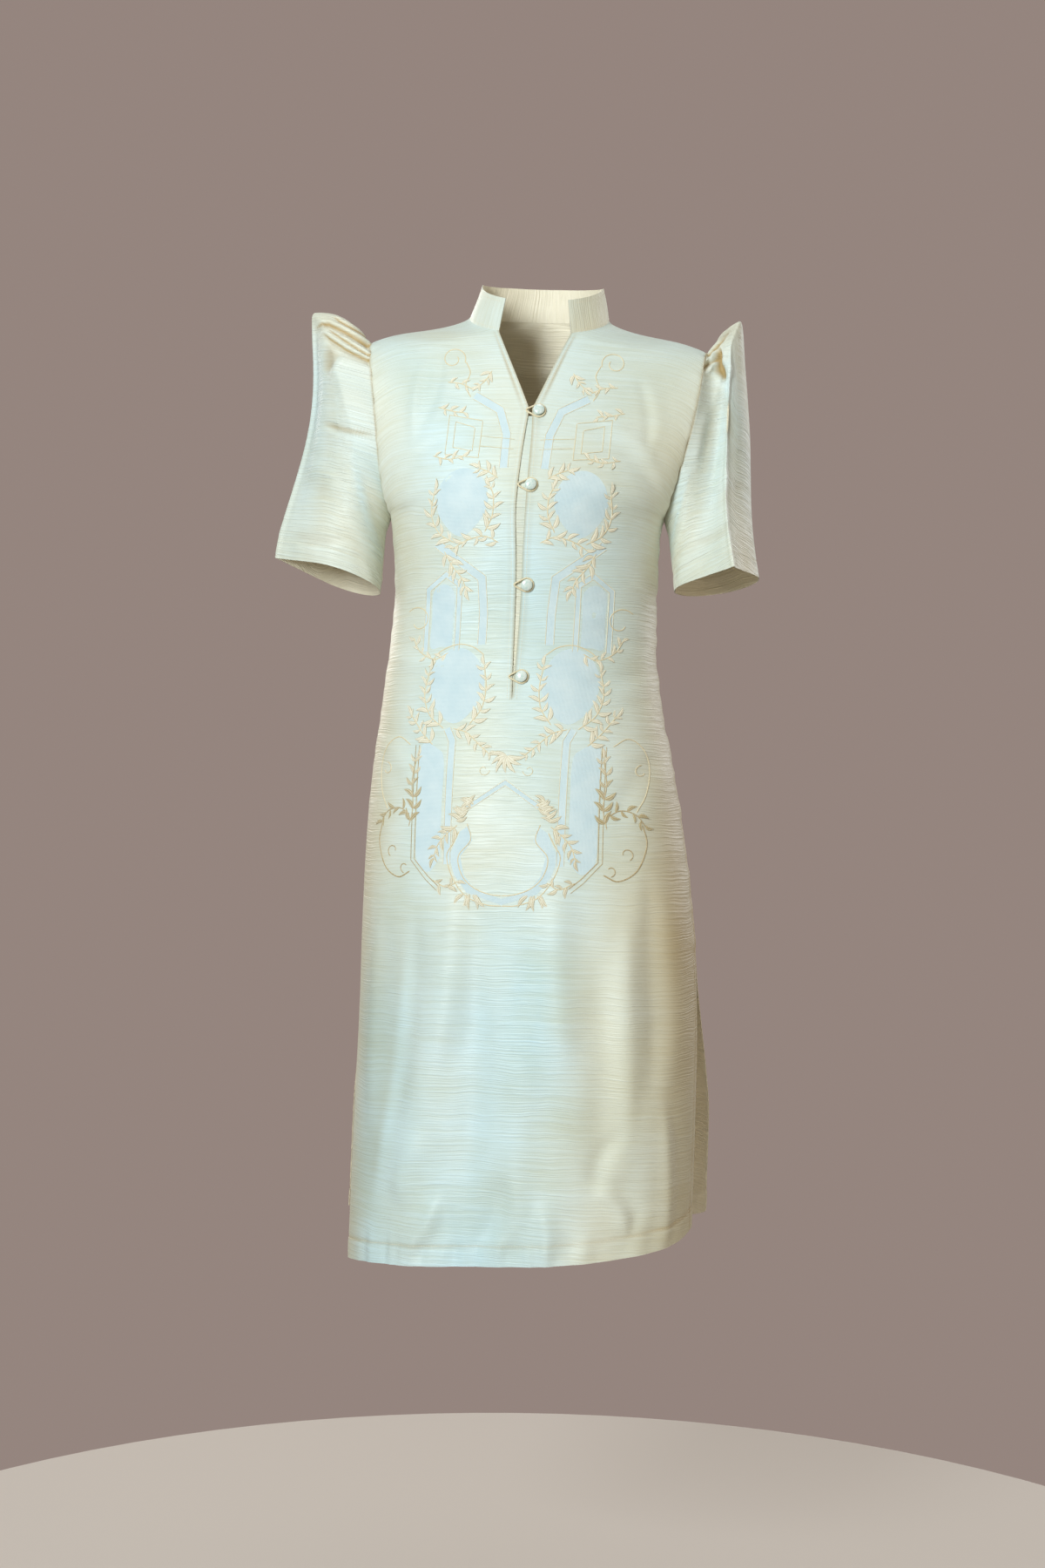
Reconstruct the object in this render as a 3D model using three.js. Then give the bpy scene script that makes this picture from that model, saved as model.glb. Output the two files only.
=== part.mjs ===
// Filipiniana dress: a knee-length barong dress with peaked, pleated sleeves.
// Millimetres, +Z up, the front of the dress faces -Y, the wearer's left is +X.
// The origin lies midway between the high points of the shoulders.
import * as THREE from 'three';

// ---------------------------------------------------------------- driving sizes
const CLOTH = 1.2;              // thickness of every cloth wall
const SEAM = 0.4;               // gap left between two sewn pieces

const NECK = {
  half_width: 71, front: 58, back: 50,   // plan of the collar's foot
  side_z: 7, front_slope: 0.46, back_slope: 0.15,
  front_corner: 30.5,                    // where the collar ends, degrees from the front
};
const COLLAR = { height: 33, lean: 9.5, lift: 0.7, thickness: 1.5 };

const SHOULDER = { crown: 3.5, hollow: 4 };   // the seam rises near its end and dips near the neck
const V_NECK = { bottom_z: -99, bottom_front: 88, bow: 4 };   // its edges bow forward a little
const ROUNDNESS = { front: 2.3, back: 2.2 };   // 2 is an ellipse in plan, more is fuller
const UNDERARM_Z = -196;
const PLACKET_END_Z = -384;
const SLIT_TOP_Z = -642;
const HEM = {
  front_z: -932, front_left_rise: -3, front_right_rise: 12, front_tilt: 0.1,
  back_z: -914, back_left_rise: 6, back_right_rise: 25, rise_from: -760,
};

// The body below the arms: half width and the depth of front and back.
const BODY = [
  { z: -196, half_width: 138.0, front: 112, back: 88 },
  { z: -245, half_width: 133.5, front: 106, back: 81 },
  { z: -310, half_width: 134.0, front: 98, back: 77 },
  { z: -375, half_width: 140.5, front: 101, back: 89 },
  { z: -465, half_width: 155.5, front: 111, back: 106 },
  { z: -555, half_width: 166.0, front: 117, back: 115 },
  { z: -645, half_width: 172.0, front: 117, back: 114 },
  { z: -800, half_width: 175.0, front: 114, back: 111 },
  { z: -932, half_width: 175.5, front: 112, back: 109 },
];

// The centre lines above the arms' level.
const FRONT_RISE = [
  { z: -196, depth: 112 },
  { z: -150, depth: 106 },
  { z: -99, depth: 88 },
];
const BACK_RISE = [
  { z: -196, depth: 88 },
  { z: -130, depth: 86 },
  { z: -80, depth: 77 },
  { z: -30, depth: 63 },
  { z: 14.5, depth: 50 },
];

// Half the opening of the placket slit.
const SLOT = [
  { z: -384, half_gap: 0.0 },
  { z: -350, half_gap: 1.2 },
  { z: -290, half_gap: 2.4 },
  { z: -240, half_gap: 3.2 },
  { z: -200, half_gap: 4.6 },
  { z: -150, half_gap: 4.0 },
  { z: -120, half_gap: 3.0 },
  { z: -99, half_gap: 1.4 },
];

// How the dress stands: the hips turn a little against the shoulders (degrees about +Z),
// the middle of each level is shifted sideways, and the shoulders slope to +X.
const STANCE = [
  { z: -930, turn: -5.4, shift: -4.5, slope: 0.000 },
  { z: -730, turn: -5.4, shift: 0.0, slope: 0.000 },
  { z: -600, turn: -5.2, shift: -2.0, slope: 0.000 },
  { z: -470, turn: -2.0, shift: -7.5, slope: 0.000 },
  { z: -360, turn: 2.4, shift: -10.5, slope: 0.000 },
  { z: -270, turn: 3.0, shift: -7.5, slope: 0.004 },
  { z: -196, turn: 3.8, shift: -7.5, slope: 0.012 },
  { z: -99, turn: 3.6, shift: 0.0, slope: 0.030 },
  { z: 0, turn: 2.6, shift: 2.0, slope: 0.032 },
  { z: 40, turn: 2.6, shift: 5.5, slope: 0.032 },
];

// Large soft folds that hang in the skirt; height is outward.
const SKIRT_FOLDS = [
  { panel: 'front', x: -86, half_width: 26, height: 4.0, top: -610 },
  { panel: 'front', x: -30, half_width: 24, height: -2.5, top: -640 },
  { panel: 'front', x: 52, half_width: 28, height: 3.5, top: -600 },
  { panel: 'front', x: 122, half_width: 22, height: -3.0, top: -690 },
  { panel: 'back', x: -95, half_width: 26, height: 4.5, top: -560 },
  { panel: 'back', x: -20, half_width: 30, height: -4.0, top: -590 },
  { panel: 'back', x: 70, half_width: 28, height: 4.5, top: -570 },
];

// The edges of front and back stand apart below the slits.
const FOLD_FADE = 160;          // a fold grows to its full height over this drop
const SLIT_OPENING = 170;       // the slit opens to its full spread over this drop
const SLIT_SPREAD = { front_y: 9, back_y: 24, back_left_x: 14, back_right_x: 9 };

// Armhole: an upright oval; the share of height sets how far out it lies.
const ARMHOLE = {
  top_z: -22, bottom_z: -196, top_x: 171, bottom_x: 138, top_y: 4, bottom_y: 0,
  front: 52, back: 54, lean: 0.72,
};

// Sleeves. Angles go round the arm from straight out (0) to the front (90).
// Pleat angles go round the armhole from its top (0) to the front (90).
// The cap starts outside the armhole edge by the seam's gap and the clearance.
const SLEEVES = [
  {
    name: 'sleeve_wearer_right', side: -1,
    arm: { x: 190, y: 4, radius: 40, clearance: 0.1 },
    crease: { angle: 2, reach: 67, bend: 1.9, hollow: 9, hollow_end: 0.9 },
    peak: { turn: -6, x: 230, y: 4, z: 6, arch: 11, spread_front: 60, spread_back: 56 },
    hem: { crease_z: -239, inward: 0.29, backward: 0.2 },
    pleats: [
      { angle: -44, half_width: 4, depth: 3.0 },
      { angle: -33, half_width: 4, depth: 3.5 },
      { angle: -22, half_width: 4, depth: 3.5 },
      { angle: -11, half_width: 4, depth: 3.5 },
      { angle: 0, half_width: 4, depth: 4.0 },
      { angle: 10, half_width: 4, depth: 4.5 },
      { angle: 20, half_width: 4, depth: 4.5 },
      { angle: 30, half_width: 4, depth: 4.5 },
      { angle: 41, half_width: 4.5, depth: 5.0 },
    ],
  },
  {
    name: 'sleeve_wearer_left', side: 1,
    arm: { x: 193, y: 5, radius: 42.5, clearance: 0.95 },
    crease: { angle: 78, reach: 71, bend: 1.0, hollow: 7, hollow_end: 1 },
    peak: { turn: -20, x: 205, y: -5, z: 10, arch: 8, spread_front: 32, spread_back: 62 },
    hem: { crease_z: -248, inward: 0.16, backward: 0.14 },
    pleats: [
      { angle: -46, half_width: 4, depth: 3.0 },
      { angle: -34, half_width: 4, depth: 3.5 },
      { angle: -22, half_width: 4, depth: 3.5 },
      { angle: -10, half_width: 4, depth: 3.5 },
      { angle: 4, half_width: 5, depth: 4.5 },
      { angle: 27, half_width: 9, depth: 9.0 },
    ],
  },
];

// Pearl buttons on the wearer's left edge of the slit, one loop each.
const BUTTON = {
  radius: 5.6, height: 5.6, foot_radius: 3.5, neck_radius: 4, neck_height: 1.6, waist: 3.6,
  from_centre: 8, heights: [-101, -176, -272, -361],
};
const LOOP = { inner: 6.4, tail: 14, cord: 0.9 };
const UNDERLAP = { half_width: 11, top: -106, bottom: -392, ease: 0.2 };

const COLOURS = {
  silk: 0xf1ead6, silk_shade: 0xe9dfc6, underlap: 0xe6dcc2, pearl: 0xdfe9e4, loop: 0xe8d9b4,
};

// ---------------------------------------------------------------- small helpers
const rad = (degrees) => degrees * Math.PI / 180;
const mix = (a, b, t) => a + (b - a) * t;
const clamp01 = (t) => Math.min(1, Math.max(0, t));
const smooth = (t) => clamp01(t) ** 2 * (3 - 2 * clamp01(t));

// Smooth value of one column of a table, for a height z (rows in any one order).
function column(table, key, z) {
  const rows = table[0].z < table[table.length - 1].z ? table : [...table].reverse();
  const last = rows.length - 1;
  if (z <= rows[0].z) return rows[0][key];
  if (z >= rows[last].z) return rows[last][key];
  let i = 0;
  while (z > rows[i + 1].z) i += 1;
  const slope = (a, b) => (rows[b][key] - rows[a][key]) / (rows[b].z - rows[a].z);
  const step = rows[i + 1].z - rows[i].z;
  const t = (z - rows[i].z) / step;
  const m0 = slope(Math.max(i - 1, 0), i + 1) * step;
  const m1 = slope(i, Math.min(i + 2, last)) * step;
  return (2 * t ** 3 - 3 * t ** 2 + 1) * rows[i][key] + (t ** 3 - 2 * t ** 2 + t) * m0
    + (3 * t ** 2 - 2 * t ** 3) * rows[i + 1][key] + (t ** 3 - t ** 2) * m1;
}

// The stance, put on every point last.
function posed(p) {
  const a = rad(column(STANCE, 'turn', p.z));
  return new THREE.Vector3(
    p.x * Math.cos(a) - p.y * Math.sin(a) + column(STANCE, 'shift', p.z),
    p.x * Math.sin(a) + p.y * Math.cos(a),
    p.z - p.x * column(STANCE, 'slope', p.z));
}

// ---------------------------------------------------------------- closed cloth walls
// Grids of outer points are welded into one sheet, which gets an inner face and rims.
function wall(grids, thickness, flattenSeam = () => false) {
  const points = [];
  const ids = new Map();
  const id = (p) => {
    const key = [p.x, p.y, p.z].map((c) => Math.round(c * 1000)).join();
    if (!ids.has(key)) {
      ids.set(key, points.length);
      points.push(p);
    }
    return ids.get(key);
  };
  const faces = [];
  for (const { rows, flip } of grids) {
    for (let r = 0; r + 1 < rows.length; r += 1) {
      for (let c = 0; c + 1 < rows[r].length; c += 1) {
        const quad = [rows[r][c], rows[r][c + 1], rows[r + 1][c + 1], rows[r + 1][c]].map(id);
        if (flip) quad.reverse();
        for (const tri of [[quad[0], quad[1], quad[2]], [quad[0], quad[2], quad[3]]]) {
          if (new Set(tri).size === 3) faces.push(tri);
        }
      }
    }
  }
  const normals = points.map(() => new THREE.Vector3());
  for (const [a, b, c] of faces) {
    const n = new THREE.Vector3().subVectors(points[b], points[a])
      .cross(new THREE.Vector3().subVectors(points[c], points[a]));
    for (const i of [a, b, c]) normals[i].add(n);
  }
  normals.forEach((n, i) => {
    if (flattenSeam(points[i])) n.y = 0;
    n.normalize();
  });
  const inner = points.map((p, i) => p.clone().addScaledVector(normals[i], -thickness));
  const count = points.length;
  const index = [];
  const edges = new Map();
  for (const [a, b, c] of faces) {
    index.push(a, b, c, a + count, c + count, b + count);
    for (const [p, q] of [[a, b], [b, c], [c, a]]) edges.set(`${p},${q}`, [p, q]);
  }
  for (const [p, q] of edges.values()) {
    if (edges.has(`${q},${p}`)) continue;
    index.push(q, p, p + count, q, p + count, q + count);
  }
  return solid([...points, ...inner].map(posed), index);
}

function solid(points, index) {
  const geometry = new THREE.BufferGeometry();
  const flat = points.flatMap((p) => [p.x, p.y, p.z]);
  geometry.setAttribute('position', new THREE.Float32BufferAttribute(flat, 3));
  geometry.setIndex(index);
  geometry.computeVertexNormals();
  return geometry;
}

// ---------------------------------------------------------------- lines of the pattern
// The collar's foot, by degrees from the centre front round to the centre back (180).
function neckFoot(degrees) {
  const x = NECK.half_width * Math.sin(rad(degrees));
  const c = Math.cos(rad(degrees));
  const y = c > 0 ? -NECK.front * c : -NECK.back * c;
  const slope = y < 0 ? NECK.front_slope : NECK.back_slope;
  return new THREE.Vector3(x, y, NECK.side_z + slope * y);
}

// The armhole, by degrees from its top through the front (90) to the underarm (180).
function armholeCurve(degrees) {
  const height = (Math.cos(rad(degrees)) + 1) / 2;
  const across = Math.sin(rad(degrees));
  const depth = across > 0 ? ARMHOLE.front : ARMHOLE.back;
  return new THREE.Vector3(
    mix(ARMHOLE.bottom_x, ARMHOLE.top_x, height ** ARMHOLE.lean),
    mix(ARMHOLE.bottom_y, ARMHOLE.top_y, height) - depth * across,
    mix(ARMHOLE.bottom_z, ARMHOLE.top_z, height));
}

// Rows of the panels above the underarm, as shares of the armhole from top to bottom.
const NECK_ROWS = [0, 0.045, 0.09, 0.135, 0.18, 0.22];
const V_ROWS = [0.29, 0.37, 0.45, 0.53];
const CHEST_ROWS = [0.62, 0.71, 0.81, 0.9, 1];
const UPPER_ROWS = [...NECK_ROWS, ...V_ROWS, ...CHEST_ROWS];
const NECK_SHARE = NECK_ROWS[NECK_ROWS.length - 1];
const V_SHARE = V_ROWS[V_ROWS.length - 1];
const LOWER_ROWS = [
  -220, -245, -272, -305, -344, PLACKET_END_Z, -430, -480, -532, -586, SLIT_TOP_Z,
  -690, -745, -800, -855, -905, HEM.front_z,
];

// The armhole as the panels' straight edges have it, so that the sleeve fits it.
function armholeEdge(degrees) {
  const turn = ((degrees + 180) % 360 + 360) % 360 - 180;
  const share = Math.abs(turn) / 180;
  let i = 0;
  while (share > UPPER_ROWS[i + 1]) i += 1;
  const t = (share - UPPER_ROWS[i]) / (UPPER_ROWS[i + 1] - UPPER_ROWS[i]);
  const sign = turn < 0 ? -1 : 1;
  return armholeCurve(sign * 180 * UPPER_ROWS[i])
    .lerp(armholeCurve(sign * 180 * UPPER_ROWS[i + 1]), t);
}

function foldHeight(panel, x, z) {
  let height = 0;
  for (const fold of SKIRT_FOLDS) {
    if (fold.panel !== panel) continue;
    const along = smooth((fold.top - z) / FOLD_FADE);
    height += fold.height * along * Math.exp(-(((x - fold.x) / fold.half_width) ** 2));
  }
  return height;
}

// ---------------------------------------------------------------- front and back panel
// A row runs from the neck, slit or centre line (across 0) to the armhole or side (1).
function panelPoint(panel, side, row, across) {
  const front = panel === 'front';
  const facing = front ? -1 : 1;
  if (row.share === undefined) return lowerPoint(panel, side, row.z, across);
  const share = row.share;
  const outer = armholeCurve(-facing * 180 * share);
  if (share === 0) outer.y += facing * SEAM / 2;
  let inner;
  if (share <= NECK_SHARE) {
    const end = front ? NECK.front_corner : 180;
    inner = neckFoot(mix(90, end, share / NECK_SHARE));
    if (share === 0) inner.y += facing * SEAM / 2;
  } else if (front && share <= V_SHARE) {
    const t = (share - NECK_SHARE) / (V_SHARE - NECK_SHARE);
    const corner = neckFoot(NECK.front_corner);
    const gap = column(SLOT, 'half_gap', V_NECK.bottom_z);
    const bottom = new THREE.Vector3(gap, -V_NECK.bottom_front, V_NECK.bottom_z);
    inner = corner.lerp(bottom, t);
    inner.y -= V_NECK.bow * Math.sin(Math.PI * t);
  } else {
    const start = front ? V_SHARE : NECK_SHARE;
    const top = front ? V_NECK.bottom_z : neckFoot(180).z;
    const z = mix(top, UNDERARM_Z, (share - start) / (1 - start));
    const depth = column(front ? FRONT_RISE : BACK_RISE, 'depth', z);
    inner = new THREE.Vector3(front ? column(SLOT, 'half_gap', z) : 0, facing * depth, z);
  }
  const power = mix(1, ROUNDNESS[panel], smooth(share));
  const round = mix(1, 2, smooth((share - 0.35) / 0.65));
  const w = mix(across, Math.sin(across * Math.PI / 2), smooth(share));
  const bulge = (1 - w ** power) ** (1 / round);
  const crown = clamp01(1 - share / 0.3)
    * (SHOULDER.crown * Math.sin(Math.PI * w ** 2.2) - SHOULDER.hollow * Math.sin(Math.PI * w ** 0.5));
  const point = new THREE.Vector3(
    mix(inner.x, outer.x, w), outer.y + (inner.y - outer.y) * bulge,
    mix(inner.z, outer.z, w) + crown);
  point.x *= side;
  return point;
}

function lowerPoint(panel, side, z, across) {
  const front = panel === 'front';
  const facing = front ? -1 : 1;
  const open = smooth((SLIT_TOP_Z - z) / SLIT_OPENING);
  const spread = front ? SLIT_SPREAD.front_y : SLIT_SPREAD.back_y;
  const out = side < 0 ? SLIT_SPREAD.back_left_x : SLIT_SPREAD.back_right_x;
  const half = column(BODY, 'half_width', z) + (front ? 0 : out * open);
  const edge = facing * (SEAM / 2 + spread * open);
  const depth = column(BODY, front ? 'front' : 'back', z);
  const gap = front && z > PLACKET_END_Z ? column(SLOT, 'half_gap', z) : 0;
  const w = Math.sin(across * Math.PI / 2);
  const bulge = Math.sqrt(1 - w ** ROUNDNESS[panel]);
  const x = side * mix(gap, half, w);
  const lift = foldHeight(panel, x, z) * (1 - across ** 4);
  const y = edge + (facing * (depth + lift) - edge) * bulge;
  return new THREE.Vector3(x, y, z + hemShift(front, side, z, across));
}

// The hem's height against the lowest row, growing from the level rise_from down.
function hemShift(front, side, z, across) {
  const left = front ? HEM.front_left_rise : HEM.back_left_rise;
  const right = front ? HEM.front_right_rise : HEM.back_right_rise;
  const rise = (side < 0 ? left : right) * across ** 3;
  const level = (front ? HEM.front_z : HEM.back_z) - HEM.front_z;
  const share = clamp01((HEM.rise_from - z) / (HEM.rise_from - HEM.front_z));
  const tilt = front ? HEM.front_tilt * side * BODY[BODY.length - 1].half_width * across : 0;
  return (rise + level + tilt) * share;
}

function panelRows() {
  const upper = UPPER_ROWS.map((share) => ({ share }));
  return [...upper, ...LOWER_ROWS.map((z) => ({ z }))];
}

function panelGeometry(panel, columns) {
  const halves = [-1, 1].map((side) => ({
    flip: (side > 0) === (panel === 'front'),
    rows: panelRows().map((row) => Array.from({ length: columns + 1 },
      (_, i) => panelPoint(panel, side, row, i / columns))),
  }));
  const nearSeam = (p) => Math.abs(p.y) < 5 && p.z > SLIT_TOP_Z && Math.abs(p.x) > 70
    && (Math.abs(Math.abs(p.y) - SEAM / 2) < 0.01 || Math.abs(p.y - ARMHOLE.top_y) < 4.5);
  return wall(halves, CLOTH, nearSeam);
}

// ---------------------------------------------------------------- stand collar
// The band stands on the same points as the panels' neck edges.
function collarGeometry() {
  const frontTurns = NECK_ROWS.map((row) => mix(90, NECK.front_corner, row / NECK_SHARE)).reverse();
  const backTurns = NECK_ROWS.slice(1).map((row) => mix(90, 180, row / NECK_SHARE));
  const half = [...frontTurns, ...backTurns];
  const turns = [...half, ...half.slice(0, -1).map((degrees) => -degrees).reverse()];
  const lean = COLLAR.lean / NECK.half_width;
  const foot = turns.map((degrees) => {
    const p = neckFoot(Math.abs(degrees));
    p.x *= Math.sign(degrees);
    p.z += COLLAR.lift;
    return p;
  });
  const top = foot.map((p) => new THREE.Vector3(
    p.x * (1 - lean), p.y * (1 - lean * 0.4), p.z + COLLAR.height - COLLAR.lift));
  const middle = foot.map((p, i) => p.clone().lerp(top[i], 0.5));
  return wall([{ rows: [top, middle, foot], flip: true }], COLLAR.thickness);
}

// ---------------------------------------------------------------- sleeves
// Each line of a sleeve climbs from the armhole to a knee, then falls to the hem.
const KNEE_SHARE = 0.22;
const KNEE_OUT = 0.5;
const CREASE_SPREAD = 20;
const TUCK_FULL_AT = 0.14;      // share of the cap where a pleat reaches its full depth
const TUCK_AT_KNEE = 0.45;      // how much of that depth is left at the knee
const TUCK_END = 0.3;           // share of the fall where the pleats have run out
const CAP_SHARES = [0, TUCK_FULL_AT, 0.45, 0.78, 1];
const FALL_SHARES = [0.08, 0.2, 0.38, 0.58, 0.8, 1];

function plainKnee(start, end) {
  const knee = start.clone().lerp(end, KNEE_SHARE);
  knee.x = mix(start.x, end.x, KNEE_OUT);
  return knee;
}

function sleeveGeometry(sleeve) {
  const { arm, crease, peak, hem, pleats } = sleeve;
  const corners = new Set();
  for (const pleat of pleats) {
    for (const k of [-1, 0, 1]) corners.add(pleat.angle + k * pleat.half_width);
  }
  // The panels' own rows, so that the cap follows their straight edges.
  const nearest = 2;
  for (const share of UPPER_ROWS.slice(1)) {
    for (const angle of share < 1 ? [180 * share, -180 * share] : [180]) {
      if ([...corners].every((corner) => Math.abs(corner - angle) > nearest)) corners.add(angle);
    }
  }
  const angles = [...corners].sort((a, b) => a - b);
  angles.push(angles[0] + 360);

  const hemPoint = (degrees) => {
    const tangent = Math.acos(arm.radius / crease.reach);
    const at = rad(degrees + crease.angle * (1 - Math.abs(degrees) / 180));
    const away = Math.abs(at - rad(crease.angle));
    const reach = away < tangent ? arm.radius / Math.cos(tangent - away) : arm.radius;
    const x = arm.x + reach * Math.cos(at);
    const y = arm.y - reach * Math.sin(at);
    const tip = rad(crease.angle);
    const tipX = arm.x + crease.reach * Math.cos(tip);
    const tipY = arm.y - crease.reach * Math.sin(tip);
    return new THREE.Vector3(x, y, hem.crease_z - hem.inward * (tipX - x) - hem.backward * (y - tipY));
  };
  const valley = (degrees) => pleats.reduce((sum, p) => {
    const off = Math.abs(degrees - p.angle) / p.half_width;
    return sum + p.depth * Math.max(0, 1 - off);
  }, 0);

  const generator = (degrees) => {
    const turn = ((degrees + 180) % 360 + 360) % 360 - 180;
    const start = armholeEdge(turn);
    const end = hemPoint(turn);
    const spread = turn > peak.turn ? peak.spread_front : peak.spread_back;
    const bell = Math.exp(-(((turn - peak.turn) / spread) ** 2));
    const knee = plainKnee(start, end);
    const top = plainKnee(armholeEdge(peak.turn), hemPoint(peak.turn));
    knee.x += (peak.x - top.x) * bell;
    knee.y += (peak.y - top.y) * bell;
    knee.z += (peak.z - top.z) * bell;
    const out = knee.clone().sub(start).normalize();
    start.addScaledVector(out, SEAM);
    start.x += arm.clearance;
    const sunk = valley(turn);
    const inward = new THREE.Vector3(0, Math.sin(rad(turn)), -Math.cos(rad(turn)));
    const arch = peak.arch * bell;
    const cap = CAP_SHARES.map((t) => {
      const full = t === 0 ? 0 : smooth(t / TUCK_FULL_AT) * mix(1, TUCK_AT_KNEE, smooth(2 * t - 1));
      const point = start.clone().lerp(knee, t).addScaledVector(inward, sunk * full);
      point.z += arch * Math.sin(Math.PI * t);
      return point;
    });
    const fall = FALL_SHARES.map((t) => {
      const bent = t ** mix(1, crease.bend, bell);
      const fade = TUCK_AT_KNEE * (1 - smooth(t / TUCK_END));
      const hollow = crease.hollow * Math.sin(Math.PI * Math.min(1, t / crease.hollow_end))
        * Math.exp(-((turn / CREASE_SPREAD) ** 2));
      return new THREE.Vector3(mix(knee.x, end.x, bent) - hollow,
        mix(knee.y, end.y, t), mix(knee.z, end.z, t)).addScaledVector(inward, sunk * fade);
    });
    return [...cap, ...fall];
  };
  const lines = angles.map(generator);
  const rows = lines[0].map((_, r) => lines.map((line) => {
    const p = line[r].clone();
    p.x *= sleeve.side;
    return p;
  }));
  return wall([{ rows, flip: sleeve.side < 0 }], CLOTH);
}

// ---------------------------------------------------------------- placket, buttons, loops
const FRONT_COLUMNS = 11;
const BACK_COLUMNS = 10;

// The front's outer face at a place given by x and z, below the V neck.
function onFront(x, z) {
  const side = x < 0 ? -1 : 1;
  const rows = panelRows().filter((row) => row.share === undefined || row.share >= V_ROWS[1]);
  const cuts = rows.map((row) => {
    const line = Array.from({ length: FRONT_COLUMNS + 1 },
      (_, i) => panelPoint('front', side, row, i / FRONT_COLUMNS));
    let i = 0;
    while (Math.abs(line[i + 1].x) < Math.abs(x)) i += 1;
    return line[i].lerp(line[i + 1], (x - line[i].x) / (line[i + 1].x - line[i].x));
  });
  let j = 0;
  while (cuts[j + 1].z > z) j += 1;
  return cuts[j].lerp(cuts[j + 1], (z - cuts[j].z) / (cuts[j + 1].z - cuts[j].z));
}

// The same place raised square off the face by a height.
function offFront(x, z, height) {
  const reach = 4;
  const across = onFront(x + reach, z).sub(onFront(x - reach, z));
  const up = onFront(x, z + reach).sub(onFront(x, z - reach));
  const out = across.cross(up).normalize();
  return { point: onFront(x, z).addScaledVector(out, height), out };
}

function underlapGeometry() {
  const rows = [];
  const steps = 16;
  for (let r = 0; r <= steps; r += 1) {
    const z = mix(UNDERLAP.top, UNDERLAP.bottom, r / steps);
    rows.push(Array.from({ length: 5 }, (_, i) => offFront(
      mix(-UNDERLAP.half_width, UNDERLAP.half_width, i / 4), z, -CLOTH - SEAM - UNDERLAP.ease).point));
  }
  return wall([{ rows, flip: true }], CLOTH);
}

function buttonGeometry() {
  const profile = [];
  const steps = 6;
  profile.push(new THREE.Vector2(0, 0));
  profile.push(new THREE.Vector2(BUTTON.foot_radius, 0));
  profile.push(new THREE.Vector2(BUTTON.neck_radius, BUTTON.neck_height));
  for (let i = 0; i <= steps; i += 1) {
    const a = mix(-25, 90, i / steps);
    const r = i === steps ? 0 : BUTTON.radius * Math.cos(rad(a));
    profile.push(new THREE.Vector2(r, BUTTON.waist + (BUTTON.height - BUTTON.waist) * Math.sin(rad(a))));
  }
  const geometry = new THREE.LatheGeometry(profile, 16);
  geometry.rotateX(Math.PI);
  return geometry;
}

function placeButton(button, z) {
  const foot = offFront(BUTTON.from_centre, z, SEAM);
  const tip = posed(foot.point.clone().add(foot.out));
  button.position.copy(posed(foot.point));
  button.quaternion.setFromUnitVectors(new THREE.Vector3(0, -1, 0), tip.sub(button.position).normalize());
}

function loopGeometry(z) {
  const around = 18;
  const ring = 6;
  const tangent = Math.acos(LOOP.inner / LOOP.tail);
  const centre = Array.from({ length: around }, (_, i) => {
    const a = (i / around) * 2 * Math.PI;
    const away = Math.PI - Math.abs(Math.PI - a);
    const reach = away < tangent ? LOOP.inner / Math.cos(tangent - away) : LOOP.inner;
    return offFront(BUTTON.from_centre - reach * Math.cos(a), z + reach * Math.sin(a), LOOP.cord + SEAM);
  });
  const points = [];
  const index = [];
  centre.forEach(({ point, out }, i) => {
    const next = centre[(i + 1) % around].point;
    const before = centre[(i + around - 1) % around].point;
    const sideways = next.clone().sub(before).cross(out).normalize();
    for (let k = 0; k < ring; k += 1) {
      const a = (k / ring) * 2 * Math.PI;
      points.push(point.clone().addScaledVector(out, LOOP.cord * Math.cos(a))
        .addScaledVector(sideways, LOOP.cord * Math.sin(a)));
      const a0 = i * ring + k;
      const a1 = i * ring + (k + 1) % ring;
      const b0 = ((i + 1) % around) * ring + k;
      const b1 = ((i + 1) % around) * ring + (k + 1) % ring;
      index.push(a0, b1, b0, a0, a1, b1);
    }
  });
  return solid(points.map(posed), index);
}

// ---------------------------------------------------------------- the dress
const dress = new THREE.Group();

function add(name, geometry, colour, roughness) {
  const material = new THREE.MeshStandardMaterial({ color: colour, roughness, metalness: 0 });
  const mesh = new THREE.Mesh(geometry, material);
  mesh.name = name;
  dress.add(mesh);
  return mesh;
}

add('front_panel', panelGeometry('front', FRONT_COLUMNS), COLOURS.silk, 0.55);
add('back_panel', panelGeometry('back', BACK_COLUMNS), COLOURS.silk_shade, 0.55);
add('stand_collar', collarGeometry(), COLOURS.silk, 0.55);
for (const sleeve of SLEEVES) add(sleeve.name, sleeveGeometry(sleeve), COLOURS.silk, 0.55);
add('placket_underlap', underlapGeometry(), COLOURS.underlap, 0.6);
BUTTON.heights.forEach((z, i) => {
  const button = add(`button_${i + 1}`, buttonGeometry(), COLOURS.pearl, 0.2);
  placeButton(button, z);
  add(`loop_${i + 1}`, loopGeometry(z), COLOURS.loop, 0.6);
});

export default dress;
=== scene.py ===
# Filipiniana dress: the looks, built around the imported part.
# Sizes in the tables are millimetres, +Z up, the front faces -Y, the wearer's left is +X.
import bpy
import numpy as np
from mathutils import Matrix, Vector
from mathutils.bvhtree import BVHTree


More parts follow.
